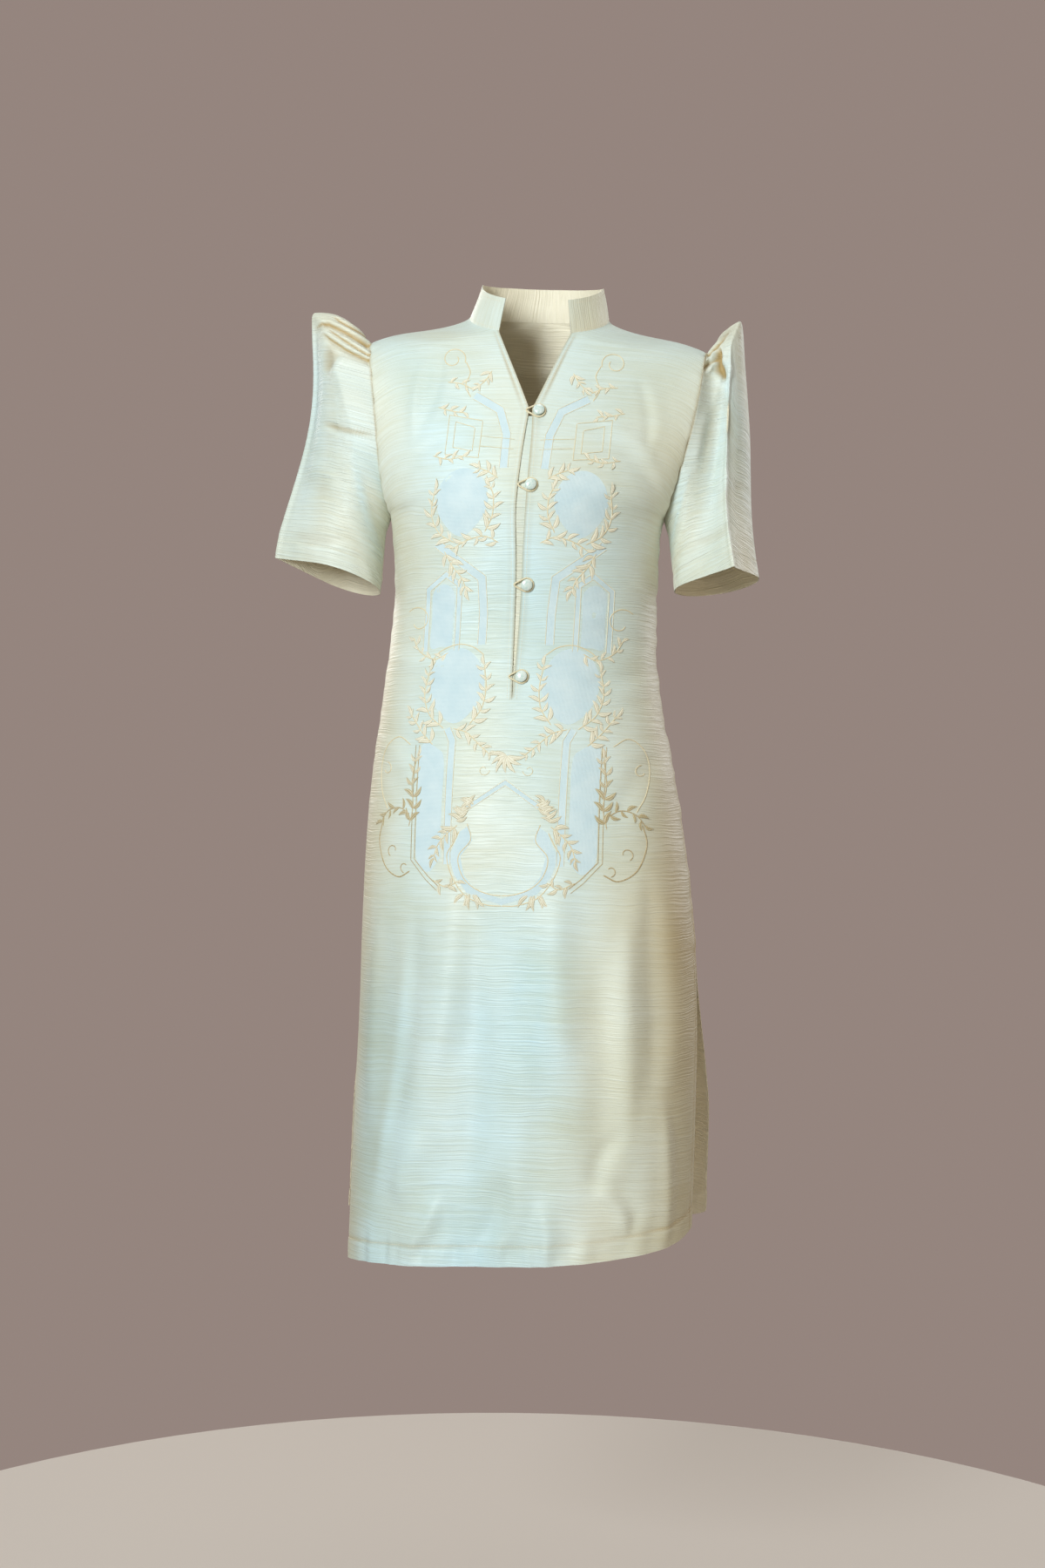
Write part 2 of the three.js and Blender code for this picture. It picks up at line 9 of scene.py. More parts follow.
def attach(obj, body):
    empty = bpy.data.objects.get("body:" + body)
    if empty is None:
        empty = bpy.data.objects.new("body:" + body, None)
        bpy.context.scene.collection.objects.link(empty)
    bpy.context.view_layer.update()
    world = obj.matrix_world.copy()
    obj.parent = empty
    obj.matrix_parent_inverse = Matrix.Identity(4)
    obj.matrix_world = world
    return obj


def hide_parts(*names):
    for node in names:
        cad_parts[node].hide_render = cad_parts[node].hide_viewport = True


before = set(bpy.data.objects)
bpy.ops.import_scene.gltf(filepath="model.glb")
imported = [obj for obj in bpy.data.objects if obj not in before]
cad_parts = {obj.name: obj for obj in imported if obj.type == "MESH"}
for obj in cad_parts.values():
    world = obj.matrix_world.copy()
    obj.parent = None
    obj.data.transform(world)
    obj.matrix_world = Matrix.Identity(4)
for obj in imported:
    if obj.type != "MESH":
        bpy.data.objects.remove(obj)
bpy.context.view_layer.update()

MM = 0.001
SEAM = 0.4                 # gap between two sewn pieces
CLOTH = 0.8                # thickness of a cloth shell
HEM_WIDTH = 20.0
SLIT_HEM = 8.0
FACING = 4.5               # stitched edge of the V neck and the placket slit
TUCK = 1.6                 # the collar's foot and the sleeve heads go this far into their seams


def table(names, *rows):
    return dict(zip(names.split(), np.array(rows, float).T))


# ---------------------------------------------------------------- driving sizes
NECK = dict(half_width=71, front=58, back=50, side_z=7, front_slope=0.46, back_slope=0.15,
            front_corner=30.5)
COLLAR = dict(height=33, lean=9.5, lift=0.7, thickness=1.2, edge=3.5, stitch_rows=(2.0, 16.2))
SHOULDER = dict(crown=3.5, hollow=4)
V_NECK = dict(bottom_z=-99, bottom_front=88, bow=4)
ROUNDNESS = dict(front=2.3, back=2.2)
UNDERARM_Z = -196
PLACKET_END_Z = -384
SLIT_TOP_Z = -642
HEM = dict(front_z=-932, front_left_rise=-3, front_right_rise=12, front_tilt=0.1,
           back_z=-914, back_left_rise=6, back_right_rise=25, rise_from=-760)
BODY = table(
    "z half_width front back",
    (-196, 138.0, 112, 88),
    (-245, 133.5, 106, 81),
    (-310, 134.0, 98, 77),
    (-375, 140.5, 101, 89),
    (-465, 155.5, 111, 106),
    (-555, 166.0, 117, 115),
    (-645, 172.0, 117, 114),
    (-800, 175.0, 114, 111),
    (-932, 175.5, 112, 109))
RISE = dict(
    front=table("z depth", (-196, 112), (-150, 106), (-99, 88)),
    back=table("z depth", (-196, 88), (-130, 86), (-80, 77), (-30, 63), (14.5, 50)))
SLOT = table(
    "z half_gap", (-384, 0.0), (-350, 1.2), (-290, 2.4), (-240, 3.2), (-200, 4.6), (-150, 4.0),
    (-120, 3.0), (-99, 1.4))
STANCE = table(
    "z turn shift slope",
    (-930, -5.4, -4.5, 0.000),
    (-730, -5.4, 0.0, 0.000),
    (-600, -5.2, -2.0, 0.000),
    (-470, -2.0, -7.5, 0.000),
    (-360, 2.4, -10.5, 0.000),
    (-270, 3.0, -7.5, 0.004),
    (-196, 3.8, -7.5, 0.012),
    (-99, 3.6, 0.0, 0.030),
    (0, 2.6, 2.0, 0.032),
    (40, 2.6, 5.5, 0.032))
FOLDS = dict(
    front=table("x half_width height top", (-86, 26, 4.0, -610), (-30, 24, -2.5, -640),
                (52, 28, 3.5, -600), (122, 22, -3.0, -690)),
    back=table("x half_width height top", (-95, 26, 4.5, -560), (-20, 30, -4.0, -590),
               (70, 28, 4.5, -570)))
FOLD_FADE = 160
SLIT_OPENING = 170
SLIT_SPREAD = dict(front_y=9, back_y=24, back_left_x=14, back_right_x=9)
ARMHOLE = dict(top_z=-22, bottom_z=-196, top_x=171, bottom_x=138, top_y=4, bottom_y=0,
               front=52, back=54, lean=0.72)
SLEEVES = {
    "sleeve_wearer_right": dict(
        side=-1, arm=dict(x=190, y=4, radius=40, clearance=0.1),
        crease=dict(angle=2, reach=67, bend=1.9, hollow=9, hollow_end=0.9),
        peak=dict(turn=-6, x=230, y=4, z=6, arch=11, spread_front=60, spread_back=56),
        hem=dict(crease_z=-239, inward=0.29, backward=0.2)),
    "sleeve_wearer_left": dict(
        side=1, arm=dict(x=193, y=5, radius=42.5, clearance=0.95),
        crease=dict(angle=78, reach=71, bend=1.0, hollow=7, hollow_end=1),
        peak=dict(turn=-20, x=205, y=-5, z=10, arch=8, spread_front=32, spread_back=62),
        hem=dict(crease_z=-248, inward=0.16, backward=0.14)),
}
KNEE_SHARE = 0.22
KNEE_OUT = 0.5
CREASE_SPREAD = 20
BUTTON = dict(radius=5.6, height=5.6, from_centre=8, sides=40, middle=3.5,
              foot=((3.2, 0.0), (3.4, 0.5), (3.1, 1.1), (4.4, 1.7)))
BUTTON_HEIGHTS = (-101, -176, -272, -361)
LOOP = dict(inner=6.4, tail=14, cord=0.9, lift=0.25, steps=56)
UNDERLAP = dict(half_width=11, top=-106, bottom=-392, ease=0.2, thickness=0.6)

# Soft creases: a line from (x0, z0) to (x1, z1), bowed sideways, a gentle ridge or trough.
CREASES = dict(
    front=table(
        "x0 z0 x1 z1 bow half_width height",
        (-128, -176, -78, -128, 6, 7, -1.6),
        (-126, -196, -66, -168, 5, 8, 1.7),
        (-112, -50, -116, -128, -3, 6, 1.6),
        (-92, -40, -104, -112, 4, 5, -1.1),
        (128, -150, 66, -108, -7, 7, 1.8),
        (132, -172, 78, -140, -6, 7, -1.7),
        (130, -196, 62, -176, -4, 8, 1.5),
        (104, -60, 116, -132, 4, 6, -1.2),
        (-118, -262, -60, -236, 6, 9, 1.3),
        (-122, -300, -74, -284, 3, 8, -1.2),
        (-126, -338, -62, -352, -4, 9, 1.4),
        (122, -270, 72, -248, -5, 8, -1.3),
        (126, -316, 64, -300, -5, 9, 1.5),
        (130, -352, 70, -366, 4, 8, -1.2),
        (-140, -420, -96, -470, 7, 10, 1.3),
        (146, -430, 108, -500, -6, 11, -1.6),
        (-50, -560, -66, -742, 6, 16, 4.6),
        (-92, -590, -116, -812, 4, 17, -6.0),
        (-82, -806, -100, -880, -4, 15, 4.6),
        (-134, -600, -142, -800, -3, 10, 3.2),
        (-30, -640, -34, -860, 4, 15, -3.2),
        (56, -560, 62, -735, -4, 16, 4.0),
        (92, -640, 96, -860, 3, 15, -3.4),
        (118, -600, 121, -800, -3, 11, 3.8),
        (136, -560, 143, -760, 4, 10, -3.6),
        (20, -700, 14, -900, 3, 16, 2.7),
        (6, -846, -18, -915, 5, 12, -4.3),
        (-60, -868, -92, -925, 5, 9, 3.9),
        (112, -800, 92, -862, -6, 9, -2.2),
        (88, -850, 124, -902, 8, 8, 4.3),
        (44, -870, 52, -930, 3, 9, 3.1),
        (152, -780, 158, -905, 2, 6, 3.5)),
    back=table(
        "x0 z0 x1 z1 bow half_width height",
        (-128, -180, -62, -132, 8, 8, 1.8),
        (-124, -200, -56, -176, 6, 9, -1.6),
        (126, -170, 70, -118, -8, 8, 1.6),
        (128, -198, 60, -186, -5, 8, 1.7),
        (-96, -64, -70, -128, 7, 9, -1.4),
        (98, -60, 74, -120, -6, 9, 1.5),
        (-60, -40, 64, -44, 5, 8, -1.3),
        (-118, -262, -30, -246, 6, 8, 1.9),
        (-112, -292, -20, -286, 5, 7, -1.8),
        (-116, -326, -34, -338, -5, 9, 1.6),
        (120, -254, 26, -262, -6, 8, -1.7),
        (118, -288, 34, -300, -5, 8, 2.0),
        (124, -344, 40, -330, 4, 9, -1.4),
        (-134, -430, -70, -520, 8, 12, 1.8),
        (138, -440, 84, -540, -8, 12, 1.6),
        (-72, -560, -88, -800, 5, 14, 4.7),
        (-112, -600, -118, -850, -4, 12, -4.3),
        (-16, -600, -30, -880, 6, 17, -3.9),
        (28, -620, 36, -880, -5, 14, 3.9),
        (96, -590, 104, -830, 4, 13, 4.7),
        (128, -640, 136, -860, 3, 10, -4.3),
        (-54, -830, -74, -900, 5, 10, 3.5),
        (62, -846, 78, -905, -4, 9, -3.5)))


# ---------------------------------------------------------------- small helpers
def rad(degrees):
    return degrees * np.pi / 180


def mix(a, b, t):
    return a + (b - a) * t


def clamp01(t):
    return np.clip(t, 0, 1)


def smooth(t):
    return clamp01(t) ** 2 * (3 - 2 * clamp01(t))


def vec(x, y, z):
    return np.stack(np.broadcast_arrays(*[np.asarray(c, float) for c in (x, y, z)]), -1)


def unit(v):
    return v / np.maximum(np.linalg.norm(v, axis=-1, keepdims=True), 1e-12)


def hill(x, at, wide):
    """A smooth hill one high."""
    return np.exp(-((x - at) / wide) ** 2)


def wave(x, *terms):
    """Sum of sines: (length, height, start) each."""
    return sum(h * np.sin(2 * np.pi * x / length + s) for length, h, s in terms)


def run_of(p, axis=0):
    """Length along each line of points, from its start."""
    return np.insert(np.cumsum(np.linalg.norm(np.diff(p, axis=axis), axis=-1), axis), 0, 0, axis)


def ease(p, share=1.0):
    """Moves each row towards the middle of its neighbours."""
    p[1:-1] = mix(p[1:-1], (p[:-2] + 2 * p[1:-1] + p[2:]) / 4, share)


def grid_quads(ids):
    """The four corners of each cell of a grid of point numbers."""
    return np.stack([ids[:-1, :-1], ids[:-1, 1:], ids[1:, 1:], ids[1:, :-1]], -1).reshape(-1, 4)


def column(t, key, z):
    """A column of a table at the heights z, on a smooth curve through its rows."""
    order = np.argsort(t["z"])
    zs = t["z"][order]
    vs = t[key][order]
    last = len(zs) - 1
    z = np.clip(np.asarray(z, float), zs[0], zs[-1])
    i = np.clip(np.searchsorted(zs, z, side="left") - 1, 0, last - 1)

    def slope(a, b):
        return (vs[b] - vs[a]) / (zs[b] - zs[a])

    step = zs[i + 1] - zs[i]
    s = (z - zs[i]) / step
    m0 = slope(np.maximum(i - 1, 0), i + 1) * step
    m1 = slope(i, np.minimum(i + 2, last)) * step
    return ((2 * s ** 3 - 3 * s ** 2 + 1) * vs[i] + (s ** 3 - 2 * s ** 2 + s) * m0
            + (3 * s ** 2 - 2 * s ** 3) * vs[i + 1] + (s ** 3 - s ** 2) * m1)


def posed(p):
    """The stance, put on every point last."""
    x, y, z = np.moveaxis(np.asarray(p, float), -1, 0)
    a = rad(column(STANCE, "turn", z))
    return vec(x * np.cos(a) - y * np.sin(a) + column(STANCE, "shift", z),
               x * np.sin(a) + y * np.cos(a),
               z - x * column(STANCE, "slope", z))


def crease_field(creases, x, z):
    """Height of the soft creases over the flat place (x, z)."""
    total = np.zeros(np.broadcast(x, z).shape)
    for i in range(len(creases["x0"])):
        c = {k: v[i] for k, v in creases.items()}
        dx, dz = c["x1"] - c["x0"], c["z1"] - c["z0"]
        length = np.hypot(dx, dz)
        t = ((x - c["x0"]) * dx + (z - c["z0"]) * dz) / length ** 2
        off = ((z - c["z0"]) * dx - (x - c["x0"]) * dz) / length
        off = off - c["bow"] * np.sin(np.pi * clamp01(t))
        along = smooth((t + 0.12) / 0.42) * smooth((1.12 - t) / 0.42)
        wide = c["half_width"] * mix(0.6, 1.0, along)
        lip = hill(off, 0, wide) - 0.45 * hill(off, 1.7 * wide, 1.2 * wide)
        total = total + c["height"] * along * lip
    return total


# ---------------------------------------------------------------- lines of the pattern
def neck_foot(degrees):
    c = np.cos(rad(degrees))
    y = np.where(c > 0, -NECK["front"] * c, -NECK["back"] * c)
    slope = np.where(y < 0, NECK["front_slope"], NECK["back_slope"])
    return vec(NECK["half_width"] * np.sin(rad(degrees)), y, NECK["side_z"] + slope * y)


def armhole_curve(degrees):
    height = (np.cos(rad(degrees)) + 1) / 2
    across = np.sin(rad(degrees))
    depth = np.where(across > 0, ARMHOLE["front"], ARMHOLE["back"])
    return vec(mix(ARMHOLE["bottom_x"], ARMHOLE["top_x"], height ** ARMHOLE["lean"]),
               mix(ARMHOLE["bottom_y"], ARMHOLE["top_y"], height) - depth * across,
               mix(ARMHOLE["bottom_z"], ARMHOLE["top_z"], height))


NECK_SHARE = 0.22
V_SHARE = 0.53


# ---------------------------------------------------------------- front and back panel
def upper_line(panel, side, share, across):
    """A row above the underarm, from the neck, slit or centre line (0) to the armhole (1)."""
    front = panel == "front"
    facing = -1 if front else 1
    outer = armhole_curve(-facing * 180 * share)
    if share == 0:
        outer[1] += facing * SEAM / 2
    if share <= NECK_SHARE:
        end = NECK["front_corner"] if front else 180
        inner = neck_foot(mix(90, end, share / NECK_SHARE))
        if share == 0:
            inner[1] += facing * SEAM / 2
    elif front and share <= V_SHARE:
        t = (share - NECK_SHARE) / (V_SHARE - NECK_SHARE)
        gap = column(SLOT, "half_gap", V_NECK["bottom_z"])
        bottom = vec(gap, -V_NECK["bottom_front"], V_NECK["bottom_z"])
        inner = mix(neck_foot(NECK["front_corner"]), bottom, t)
        inner[1] -= V_NECK["bow"] * np.sin(np.pi * t)
    else:
        start = V_SHARE if front else NECK_SHARE
        top = V_NECK["bottom_z"] if front else neck_foot(180)[2]
        z = mix(top, UNDERARM_Z, (share - start) / (1 - start))
        gap = column(SLOT, "half_gap", z) if front else 0
        inner = vec(gap, facing * column(RISE[panel], "depth", z), z)
    power = mix(1, ROUNDNESS[panel], smooth(share))
    round_ = mix(1, 2, smooth((share - 0.35) / 0.65))
    w = mix(across, np.sin(across * np.pi / 2), smooth(share))
    bulge = clamp01(1 - w ** power) ** (1 / round_)
    crown = clamp01(1 - share / 0.3) * (SHOULDER["crown"] * np.sin(np.pi * w ** 2.2)
                                        - SHOULDER["hollow"] * np.sin(np.pi * w ** 0.5))
    return vec(side * mix(inner[0], outer[0], w), outer[1] + (inner[1] - outer[1]) * bulge,
               mix(inner[2], outer[2], w) + crown)


def lower_line(panel, side, z, across):
    front = panel == "front"
    facing = -1 if front else 1
    opening = smooth((SLIT_TOP_Z - z) / SLIT_OPENING)
    spread = SLIT_SPREAD["front_y"] if front else SLIT_SPREAD["back_y"]
    out = SLIT_SPREAD["back_left_x"] if side < 0 else SLIT_SPREAD["back_right_x"]
    half = column(BODY, "half_width", z) + (0 if front else out * opening)
    edge = facing * (SEAM / 2 + spread * opening)
    depth = column(BODY, panel, z)
    gap = column(SLOT, "half_gap", z) if front and z > PLACKET_END_Z else 0
    w = np.sin(across * np.pi / 2)
    bulge = np.sqrt(clamp01(1 - w ** ROUNDNESS[panel]))
    x = side * mix(gap, half, w)
    folds = FOLDS[panel]
    lift = sum(height * smooth((top - z) / FOLD_FADE) * hill(x, at, wide)
               for at, wide, height, top in zip(*folds.values()))
    y = edge + (facing * (depth + lift * (1 - across ** 4)) - edge) * bulge
    return vec(x, y, z + hem_shift(front, side, z, across))


def hem_shift(front, side, z, across):
    left = HEM["front_left_rise"] if front else HEM["back_left_rise"]
    right = HEM["front_right_rise"] if front else HEM["back_right_rise"]
    level = (HEM["front_z"] if front else HEM["back_z"]) - HEM["front_z"]
    share = clamp01((HEM["rise_from"] - z) / (HEM["rise_from"] - HEM["front_z"]))
    tilt = HEM["front_tilt"] * side * BODY["half_width"][-1] * across if front else 0
    return ((left if side < 0 else right) * across ** 3 + level + tilt) * share


UPPER_STEPS = np.unique(np.concatenate([
    np.linspace(0, NECK_SHARE, 17), np.linspace(NECK_SHARE, V_SHARE, 29), np.linspace(V_SHARE, 1, 35)]))
LOWER_STEPS = np.concatenate([
    np.linspace(UNDERARM_Z, PLACKET_END_Z, 58)[1:], np.linspace(PLACKET_END_Z, HEM["front_z"], 172)[1:]])
COLUMNS = 66
SLIT_ROWS = len(UPPER_STEPS) + 56


def panel_grid(panel, side):
    across = np.linspace(0, 1, COLUMNS + 1)
    upper = [upper_line(panel, side, s, across) for s in UPPER_STEPS]
    lower = [lower_line(panel, side, z, across) for z in LOWER_STEPS]
    grid = np.array(upper + lower)
    # the bend between the armhole rows and the body rows is eased, except at the seam
    near = np.arange(1, len(grid) - 1)[:, None, None]
    for _ in range(12):
        ease(grid, hill(near, len(upper) - 1, 7.0) * (1 - across ** 14)[None, :, None])
    return grid


# ---------------------------------------------------------------- cloth shells
def grid_normals(p, flip):
    """Unit normals of a grid of points, outward where flip says how the grid runs."""
    across = np.gradient(p, axis=1)
    down = np.gradient(p, axis=0)
    n = unit(np.cross(down, across))
    return -n if flip else n


def new_object(name, points, faces, material, smooth_angle=50):
    """Points in millimetres and their faces become an object, creased at sharper angles."""
    me = bpy.data.meshes.new(name)
    me.from_pydata((np.asarray(points) * MM).tolist(), [], faces)
    me.materials.append(material)
    me.polygons.foreach_set("use_smooth", [True] * len(me.polygons))
    me.validate()
    me.update()
    me.set_sharp_from_angle(angle=rad(smooth_angle))
    ob = bpy.data.objects.new(name, me)
    bpy.context.scene.collection.objects.link(ob)
    return ob


def set_cloth(ob, cloth):
    """Keeps each point's place on the flat cloth, in metres, and 1 on the inner face."""
    layer = ob.data.attributes.new("cloth", "FLOAT_VECTOR", "POINT")
    layer.data.foreach_set("vector", (np.asarray(cloth) * [MM, MM, 1]).astype(np.float32).ravel())


def shell(name, grids, thickness, material):
    """Grids of (points, cloth, flip, painted shade) become one closed thin shell; the painted shade is kept
    as the "hollow" attribute.
    """
    points = np.concatenate([g[0].reshape(-1, 3) for g in grids])
    cloth = np.concatenate([g[1].reshape(-1, 2) for g in grids])
    hollow = np.concatenate([g[3].ravel() for g in grids])
    _, first, shared = np.unique(np.round(points, 3), axis=0, return_index=True, return_inverse=True)
    points, cloth, hollow = points[first], cloth[first], hollow[first]
    quads = []
    start = 0
    for grid, _, flip, _ in grids:
        size = grid[..., 0].size
        cells = grid_quads(shared.reshape(-1)[start:start + size].reshape(grid.shape[:2]))
        start += size
        quads.append(cells[:, ::-1] if flip else cells)
    quads = np.concatenate(quads)
    faces = [[v for k, v in enumerate(q) if v != q[k - 1]] for q in quads.tolist()]
    faces = [f for f in faces if len(f) > 2]
    normals = np.zeros_like(points)
    corner = points[quads]
    n = np.cross(corner[:, 2] - corner[:, 0], corner[:, 3] - corner[:, 1])
    for k in range(4):
        np.add.at(normals, quads[:, k], n)
    inner = points - unit(normals) * thickness
    count = len(points)
    edges = {(f[k - 1], v): True for f in faces for k, v in enumerate(f)}
    rim = [[b, a, a + count, b + count] for a, b in edges if (b, a) not in edges]
    faces = faces + [[v + count for v in reversed(f)] for f in faces] + rim
    ob = new_object(name, posed(np.concatenate([points, inner])), faces, material)
    set_cloth(ob, np.column_stack([np.tile(cloth, (2, 1)), np.repeat([0, 1], count)]))
    # the "hollow" attribute carries painted shade into the silk's colour
    layer = ob.data.attributes.new("hollow", "FLOAT", "POINT")
    layer.data.foreach_set("value", np.tile(clamp01(hollow), 2).astype(np.float32))
    return ob


def cloth_places(p, at_row):
    """Place on the flat cloth: along each row from its start, and down each column from a row."""
    v = -run_of(p[..., 1:])
    return run_of(p[..., :2], 1), v - v[at_row]


# Painted shade, deepening the colour where shadow falls: both sides, the wearer-left hip and the facet
# beside the wearer-right skirt fold, whose edge runs down from (top_x, top_z).
SIDE_SHADE = dict(amount=0.42, from_u=120, over=75)
HIP_SHADE = dict(amount=0.24, from_u=125, over=60, z=-660, height=150)
SKIRT_SHADE = dict(amount=0.3, top_x=-94, top_z=-600, slope=0.12)


def panel_relief(panel, side, p, u, v):
    """How far the finished cloth stands off its smooth form, and how much painted shade its colour takes."""
    across = np.linspace(0, 1, COLUMNS + 1)[None, :]
    inward = 1 - across ** 10
    x, z = p[..., 0], p[..., 2]
    start_z = z[:, :1]
    row = np.arange(len(p))[:, None]
    to_hem = (v - v[-1:]) * np.ones_like(u)
    to_side = u[:, -1:] - u
    # the turned hem: a stitched groove, a slightly thicker band and small puckers
    groove = hill(to_hem, HEM_WIDTH, 1.6)
    pucker = wave(x * (1 + 0.1 * np.sin(x / 31)), (17, 0.4, 0.3 * side), (29, 0.5, 1.1), (47, 0.6, 2.0))
    relief = crease_field(CREASES[panel], x, z) * inward
    relief += 0.5 * (1 - smooth((to_hem - HEM_WIDTH) / 3)) - 1.1 * groove
    relief += 1.5 * pucker * hill(to_hem, HEM_WIDTH * 0.6, 16) * inward
    # the turned edges of the side slits
    below = smooth((SLIT_TOP_Z + 10 - start_z) / 12)
    slit_groove = hill(to_side, SLIT_HEM, 1.3)
    relief += below * (0.25 * (1 - smooth((to_side - SLIT_HEM) / 2)) - 0.5 * slit_groove)
    # side seam: the allowance shows through as a faint band, with small drags across it
    sewn = (1 - below) * (start_z < UNDERARM_Z + 5)
    drags = wave(z + 3 * np.sin(z / 23), (19, 0.35, 0.8 * side), (33, 0.45, 0.4), (61, 0.5, 1.9))
    relief += sewn * (drags * hill(to_side, 0, 13) - 0.5 * hill(to_side, 0, 2.0))
    relief += sewn * 0.3 * (1 - smooth((to_side - 14) / 2))
    # armhole seam
    above = row < len(UPPER_STEPS)
    eased = wave(v, (15, 0.3, 1.0), (27, 0.4, 0.2 + side))
    relief += above * (eased * hill(to_side, 0, 9) - 0.6 * hill(to_side, 0, 2.2))
    # painted shade at both sides below the armholes, and at the wearer-left hip
    shade, hip = (c["amount"] * smooth((u - c["from_u"]) / c["over"]) for c in (SIDE_SHADE, HIP_SHADE))
    shade *= smooth((-200 - z) / 160)
    shade += (side > 0) * hip * hill(z, HIP_SHADE["z"], HIP_SHADE["height"])
    if panel == "front":
        # faced edges of the V neck and the placket slit
        open_rows = np.where(above, row >= np.searchsorted(UPPER_STEPS, NECK_SHARE), start_z > PLACKET_END_Z)
        relief += open_rows * (0.35 * (1 - smooth((u - FACING) / 2)) - 0.4 * hill(u, FACING, 1.2))
        # painted shade in the stitched groove and along the edge itself
        shade += 0.6 * open_rows * (hill(u, 5.2, 0.8) + hill(u, 0, 0.9))
        # painted shade on the facet beside the wearer-right skirt fold
        if side < 0:
            edge = SKIRT_SHADE["top_x"] - SKIRT_SHADE["slope"] * (SKIRT_SHADE["top_z"] - z)
            shade += (SKIRT_SHADE["amount"] * smooth((edge - x) / 12) * smooth((x + 165) / 40)
                      * smooth((SKIRT_SHADE["top_z"] + 40 - z) / 110) * smooth((z + 900) / 60))
    # painted shade in the hem and slit grooves, and along the armhole and side seams
    shade += 0.35 * groove + 0.2 * below * slit_groove
    shade += 0.5 * above * hill(to_side, 0, 1.6) + 0.15 * sewn * hill(to_side, 0, 2.0)
    return relief, shade


CREATED = {}


def build_panel(name, panel, material):
    grids = []
    for side in (-1, 1):
        base = panel_grid(panel, side)
        flip = (side > 0) == (panel == "front")
        normals = grid_normals(base, not flip)
        u, v = cloth_places(base, len(UPPER_STEPS) - 1)
        relief, shade = panel_relief(panel, side, base, u, v)
        p = base + normals * relief[..., None]
        whole = SLIT_ROWS if panel == "front" else int(np.searchsorted(UPPER_STEPS, NECK_SHARE))
        p[whole:, 0] = base[whole:, 0] + (p[whole:, 1] - base[whole:, 1]) * [0, 1, 0]
        if side > 0:
            # both halves share one line of points down the middle
            p[whole:, 0] = grids[0][0][whole:, 0] = (p[whole:, 0] + grids[0][0][whole:, 0]) / 2
        grids.append((p, np.stack([side * u, v], -1), flip, shade))
        CREATED[(panel, side)] = (p, grid_normals(p, not flip))
    return shell(name, grids, CLOTH, material)


# ---------------------------------------------------------------- sleeves
# Angles round a sleeve, close together where the pleats are.
TURNS = np.concatenate([np.linspace(-180, -58, 52)[:-1], np.linspace(-58, 58, 181),
                        np.linspace(58, 180, 52)[1:]])
MIDDLE = len(TURNS) // 2
CAP_STEPS = np.concatenate([np.linspace(0, 0.14, 7), np.linspace(0.14, 1, 30)[1:]])
FALL_STEPS = np.linspace(0, 1, 80)[1:]
SLEEVE_HEM = 17.0


def hem_point(sleeve, turn):
    arm, crease, hem = sleeve["arm"], sleeve["crease"], sleeve["hem"]
    tangent = np.arccos(arm["radius"] / crease["reach"])
    at = rad(turn + crease["angle"] * (1 - np.abs(turn) / 180))
    away = np.abs(at - rad(crease["angle"]))
    near = np.minimum(tangent - away, tangent)
    reach = np.where(away < tangent, arm["radius"] / np.cos(near), arm["radius"])
    x = arm["x"] + reach * np.cos(at)
    y = arm["y"] - reach * np.sin(at)
    return vec(x, y, hem["crease_z"] - hem_drop(sleeve, x, y))


def hem_drop(sleeve, x, y):
    """How far the hem's plane lies below its height at the crease."""
    arm, crease, hem = sleeve["arm"], sleeve["crease"], sleeve["hem"]
    tip_x = arm["x"] + crease["reach"] * np.cos(rad(crease["angle"]))
    tip_y = arm["y"] - crease["reach"] * np.sin(rad(crease["angle"]))
    return hem["inward"] * (tip_x - x) + hem["backward"] * (y - tip_y)


def plain_knee(start, end):
    knee = mix(start, end, KNEE_SHARE)
    knee[..., 0] = mix(start[..., 0], end[..., 0], KNEE_OUT)
    return knee


# Soft creases of the sleeves over (x outward, z); face is 1 in front and -1 behind.
SLEEVE_CREASES = {
    "sleeve_wearer_right": table(
        "face x0 z0 x1 z1 bow half_width height",
        (1, 214, -109, 154, -123, 3, 3.4, -2.6),
        (1, 212, -104, 158, -117, 3, 3.0, 1.2),
        (1, 190, -42, 208, -66, 1, 4.5, 2.0),
        (1, 208, -30, 214, -58, 0, 8, -2.4),
        (1, 150, -88, 146, -122, 2, 4, -1.2),
        (1, 232, -150, 190, -172, -4, 7, 1.3),
        (1, 244, -214, 180, -226, 4, 6, -1.1),
        (-1, 206, -96, 150, -120, 5, 5, -2.0),
        (-1, 170, -50, 204, -80, -2, 6, 2.2),
        (-1, 226, -150, 160, -168, 5, 7, 1.6),
        (-1, 236, -196, 184, -214, -4, 6, -1.3)),
    "sleeve_wearer_left": table(
        "face x0 z0 x1 z1 bow half_width height",
        (1, 182, -18, 183.5, -37, 0, 3.4, -7.0),
        (1, 183, -34, 189, -53, 1, 3.2, -6.0),
        (1, 180.5, -28, 169, -46, -1.5, 2.0, -5.0),
        (1, 180, -34, 185, -48, 0, 4.0, -3.0),
        (1, 178.5, -18, 175, -36, 0, 2.0, 2.4),
        (1, 184, -13, 193, 0, 1, 2.0, -2.4),
        (1, 186, -62, 196, -120, 3, 6, -1.6),
        (1, 172, -84, 166, -150, -3, 5, 1.6),
        (1, 206, -150, 176, -182, -4, 8, 1.4),
        (1, 204, -206, 170, -222, 3, 6, -1.2),
        (-1, 208, -60, 176, -96, 4, 6, 2.0),
        (-1, 214, -110, 164, -138, 5, 6, -2.0),
        (-1, 206, -168, 160, -186, -4, 7, 1.5)),
}
GRAIN_SLOPE = {"sleeve_wearer_right": 1.0, "sleeve_wearer_left": 1.7}


